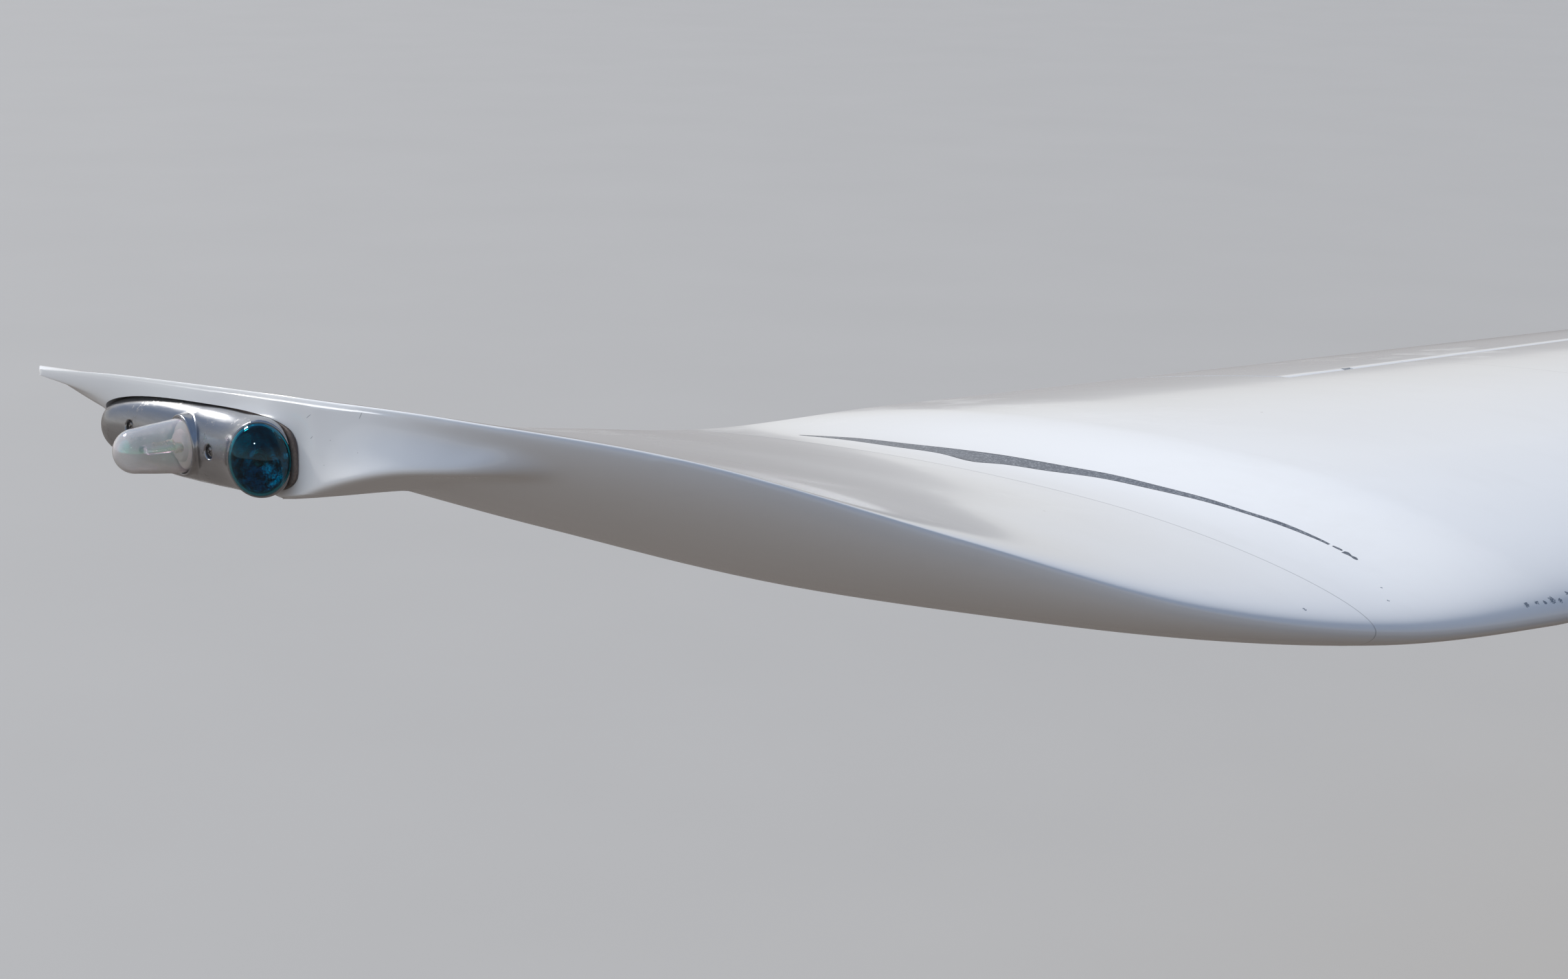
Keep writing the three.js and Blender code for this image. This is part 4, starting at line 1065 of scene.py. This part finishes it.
# Horseshoe flash tube with a metal cap on each leg and a trigger wire round it.
def makeFlashTube():
    legs, top, bends, perTurn = (flashTube[key] for key in ("legs", "top", "bends", "perTurn"))
    leg = [Vector((x, -legs, 0)) for x in (6, 12, 18, top)]
    turns = [math.pi * i / bends for i in range(1, bends)]
    path = leg + [Vector((top + legs * math.sin(a), -legs * math.cos(a), 0)) for a in turns]
    path += [Vector((p.x, -p.y, 0)) for p in reversed(leg)]
    putOn(tubeAlong("flashTube", path, flashTube["radius"], 24), lampGlass, "wing", "clear_glass")
    for number, y in ((1, -legs), (2, legs)):
        place = strobeSeat @ Matrix.Translation((0, y, 0))
        cap = turnedShell(f"flashTubeCap{number}", flashTube["cap"], place, 28)
        putOn(shadeByAngle(cap, 40), lampMetal, "wing", "steel")
    steps = flashTube["coilSteps"]
    coil = [Vector((flashTube["coilFrom"] + flashTube["coilPitch"] * i / perTurn, -legs + y, z))
            for i, (y, z) in enumerate(arc(flashTube["coil"], 0, 360 * steps / perTurn, steps))]
    putOn(tubeAlong("triggerWire", coil, flashTube["wire"], 8), lampMetal, "wing", "steel")


# Round tube along a path inside the strobe dome, closed at both ends.
def tubeAlong(name, path, radius, sides):
    rings = []
    side = Vector((0, 0, 1))
    for i, point in enumerate(path):
        ahead = (path[min(i + 1, len(path) - 1)] - path[max(i - 1, 0)]).normalized()
        side = (side - ahead * side.dot(ahead)).normalized()
        other = ahead.cross(side)
        rings.append([strobeSeat @ (point + side * (radius * c) + other * (radius * s))
                      for c, s in circle(sides)])
    return shadeByAngle(shellOverRings(name, rings), 50)


makeHousing()
makeGasket()
makeLens()
makeStrobe()
makeFlashTube()
print("tip light made")


fittings = {
    # CAD node: body, material, slot, edge rounding
    "root_rib": ("wing", glassFibre, "glass_fibre", 0.0),
    "spar_stub": ("wing", glassFibre, "glass_fibre", 1.5),
    "main_bush_inner": ("wing", platedSteel, "steel", 0.8),
    "main_bush_outer": ("wing", platedSteel, "steel", 0.8),
    "root_pin_front": ("wing", platedSteel, "steel", 0.6),
    "root_pin_rear": ("wing", platedSteel, "steel", 0.6),
    "aileron_control_rod": ("wing", drawnTube, "rod_aluminium", 0.8),
    "wing_connector": ("wing", milledPlate, "cast_aluminium", 0.8),
    "tie_down_ring": ("wing", platedSteel, "steel", 0.0),
    "aileron_rod_fairing": ("wing", wingPaint, "wing_paint", 0.0),
    "aileron_push_rod": ("wing", drawnTube, "rod_aluminium", 0.4),
    "aileron_horn": ("aileron", milledPlate, "steel", 0.5),
    "flap_drive_pin": ("flap", platedSteel, "steel", 0.8),
}
for surfaceName in ("aileron", "flap"):
    for count in (1, 2, 3):
        fittings[f"{surfaceName}_bracket_{count}"] = ("wing", milledPlate, "bracket_aluminium", 0.6)
        fittings[f"{surfaceName}_pin_{count}"] = (surfaceName, platedSteel, "steel", 0.4)


# The CAD's own shape with its edges rounded.
def makeFitting(node, body, material, slotName, rounding):
    first, *rest = node.split("_")
    piece = copyOf(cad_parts[node], first + "".join(word.capitalize() for word in rest))
    for key in list(piece.keys()):
        del piece[key]
    piece.parent = None
    editAll(piece)
    bpy.ops.mesh.remove_doubles(threshold=0.00002)
    bpy.ops.mesh.dissolve_limited(angle_limit=math.radians(1))
    bpy.ops.object.mode_set(mode="OBJECT")
    if rounding:
        roundEdges(piece, rounding, 40)
    putOn(shadeByAngle(piece, 38), material, body, slotName, node)


for node, values in fittings.items():
    makeFitting(node, *values)
print("fittings made")


studio = {
    "floorPlace": (3, -27, -0.78), "floorSize": 90,    # metres, as all of the stage
    "floor": (0.36, 0.353, 0.345),
    "bounce": (0.115, 0.097, 0.083),    # what the floor throws back at the object
    "sky": (0.31, 0.44, 0.70), "horizon": (1.0, 0.98, 0.95), "skyStrength": 0.50,
    # name: towards it, strength, width in degrees, colour
    "suns": {
        "studioSun": ((0.10, -0.74, 0.67), 4.2, 9, (1.0, 0.97, 0.92)),
        "softFill": ((1.0, -0.30, 0.35), 1.45, 75, (0.92, 0.96, 1.0)),
        "glassSparkle": ((0.72, 0.50, 0.48), 0.5, 2, (1.0, 1.0, 1.0)),
    },
    "sparkling": ["navigationLens", "lensReflector", "lensBulb", "strobeDome", "flashTube"],
}


def makeFloor():
    deselectAll()
    bpy.ops.mesh.primitive_plane_add(size=studio["floorSize"], location=studio["floorPlace"])
    floor = settle(newest("studioFloor"))
    look = startMaterial("studioFloorFinish", studio["floor"], 0.85)
    low, high = [c * 0.97 for c in studio["floor"]], [c * 1.03 for c in studio["floor"]]
    shown = mixColours(look, noise(look, 1.5, 5.0), low, high)
    seen = addNode(look, "LightPath").outputs["Is Camera Ray"]
    paintOver(look, mixColours(look, seen, studio["bounce"], shown))
    clear = addNode(look, "BsdfTransparent").outputs[0]
    below = addNode(look, "NewGeometry").outputs["Backfacing"]
    both = addNode(look, "MixShader", {0: below, 1: look.shader.outputs[0], 2: clear}).outputs[0]
    feed(look, look.tree.nodes["Material Output"], {"Surface": both})
    floor.data.materials.append(look.material)


def makeSuns():
    for name, (towards, strength, width, colour) in studio["suns"].items():
        deselectAll()
        bpy.ops.object.light_add(type="SUN", location=[2 * c for c in towards])
        sun = bpy.context.object
        sun.name = name
        sun.rotation_euler = Vector(towards).to_track_quat("Z", "Y").to_euler()
        sun.data.energy, sun.data.angle, sun.data.color = strength, math.radians(width), colour
        sun.visible_glossy = name != "softFill"    # its wide disc is no reflection to show
    glasses = bpy.data.collections.new("sparklingGlass")
    for name in studio["sparkling"]:
        glasses.objects.link(bpy.data.objects[name])
    bpy.data.objects["glassSparkle"].light_linking.receiver_collection = glasses


def makeSky():
    world = bpy.data.worlds.new("studioSky")
    world.use_nodes = True
    look = SimpleNamespace(tree=world.node_tree)
    up = addNode(look, "SeparateXYZ", {0: addNode(look, "TexCoord").outputs["Generated"]}).outputs[2]
    colour = mixColours(look, rescale(look, up, 0.0, 0.42), studio["horizon"], studio["sky"])
    feed(look, look.tree.nodes["Background"], {"Color": colour, "Strength": studio["skyStrength"]})
    bpy.context.scene.world = world


makeFloor()
makeSuns()
makeSky()
bpy.context.scene.view_settings.view_transform = "Standard"
print("stage lit")
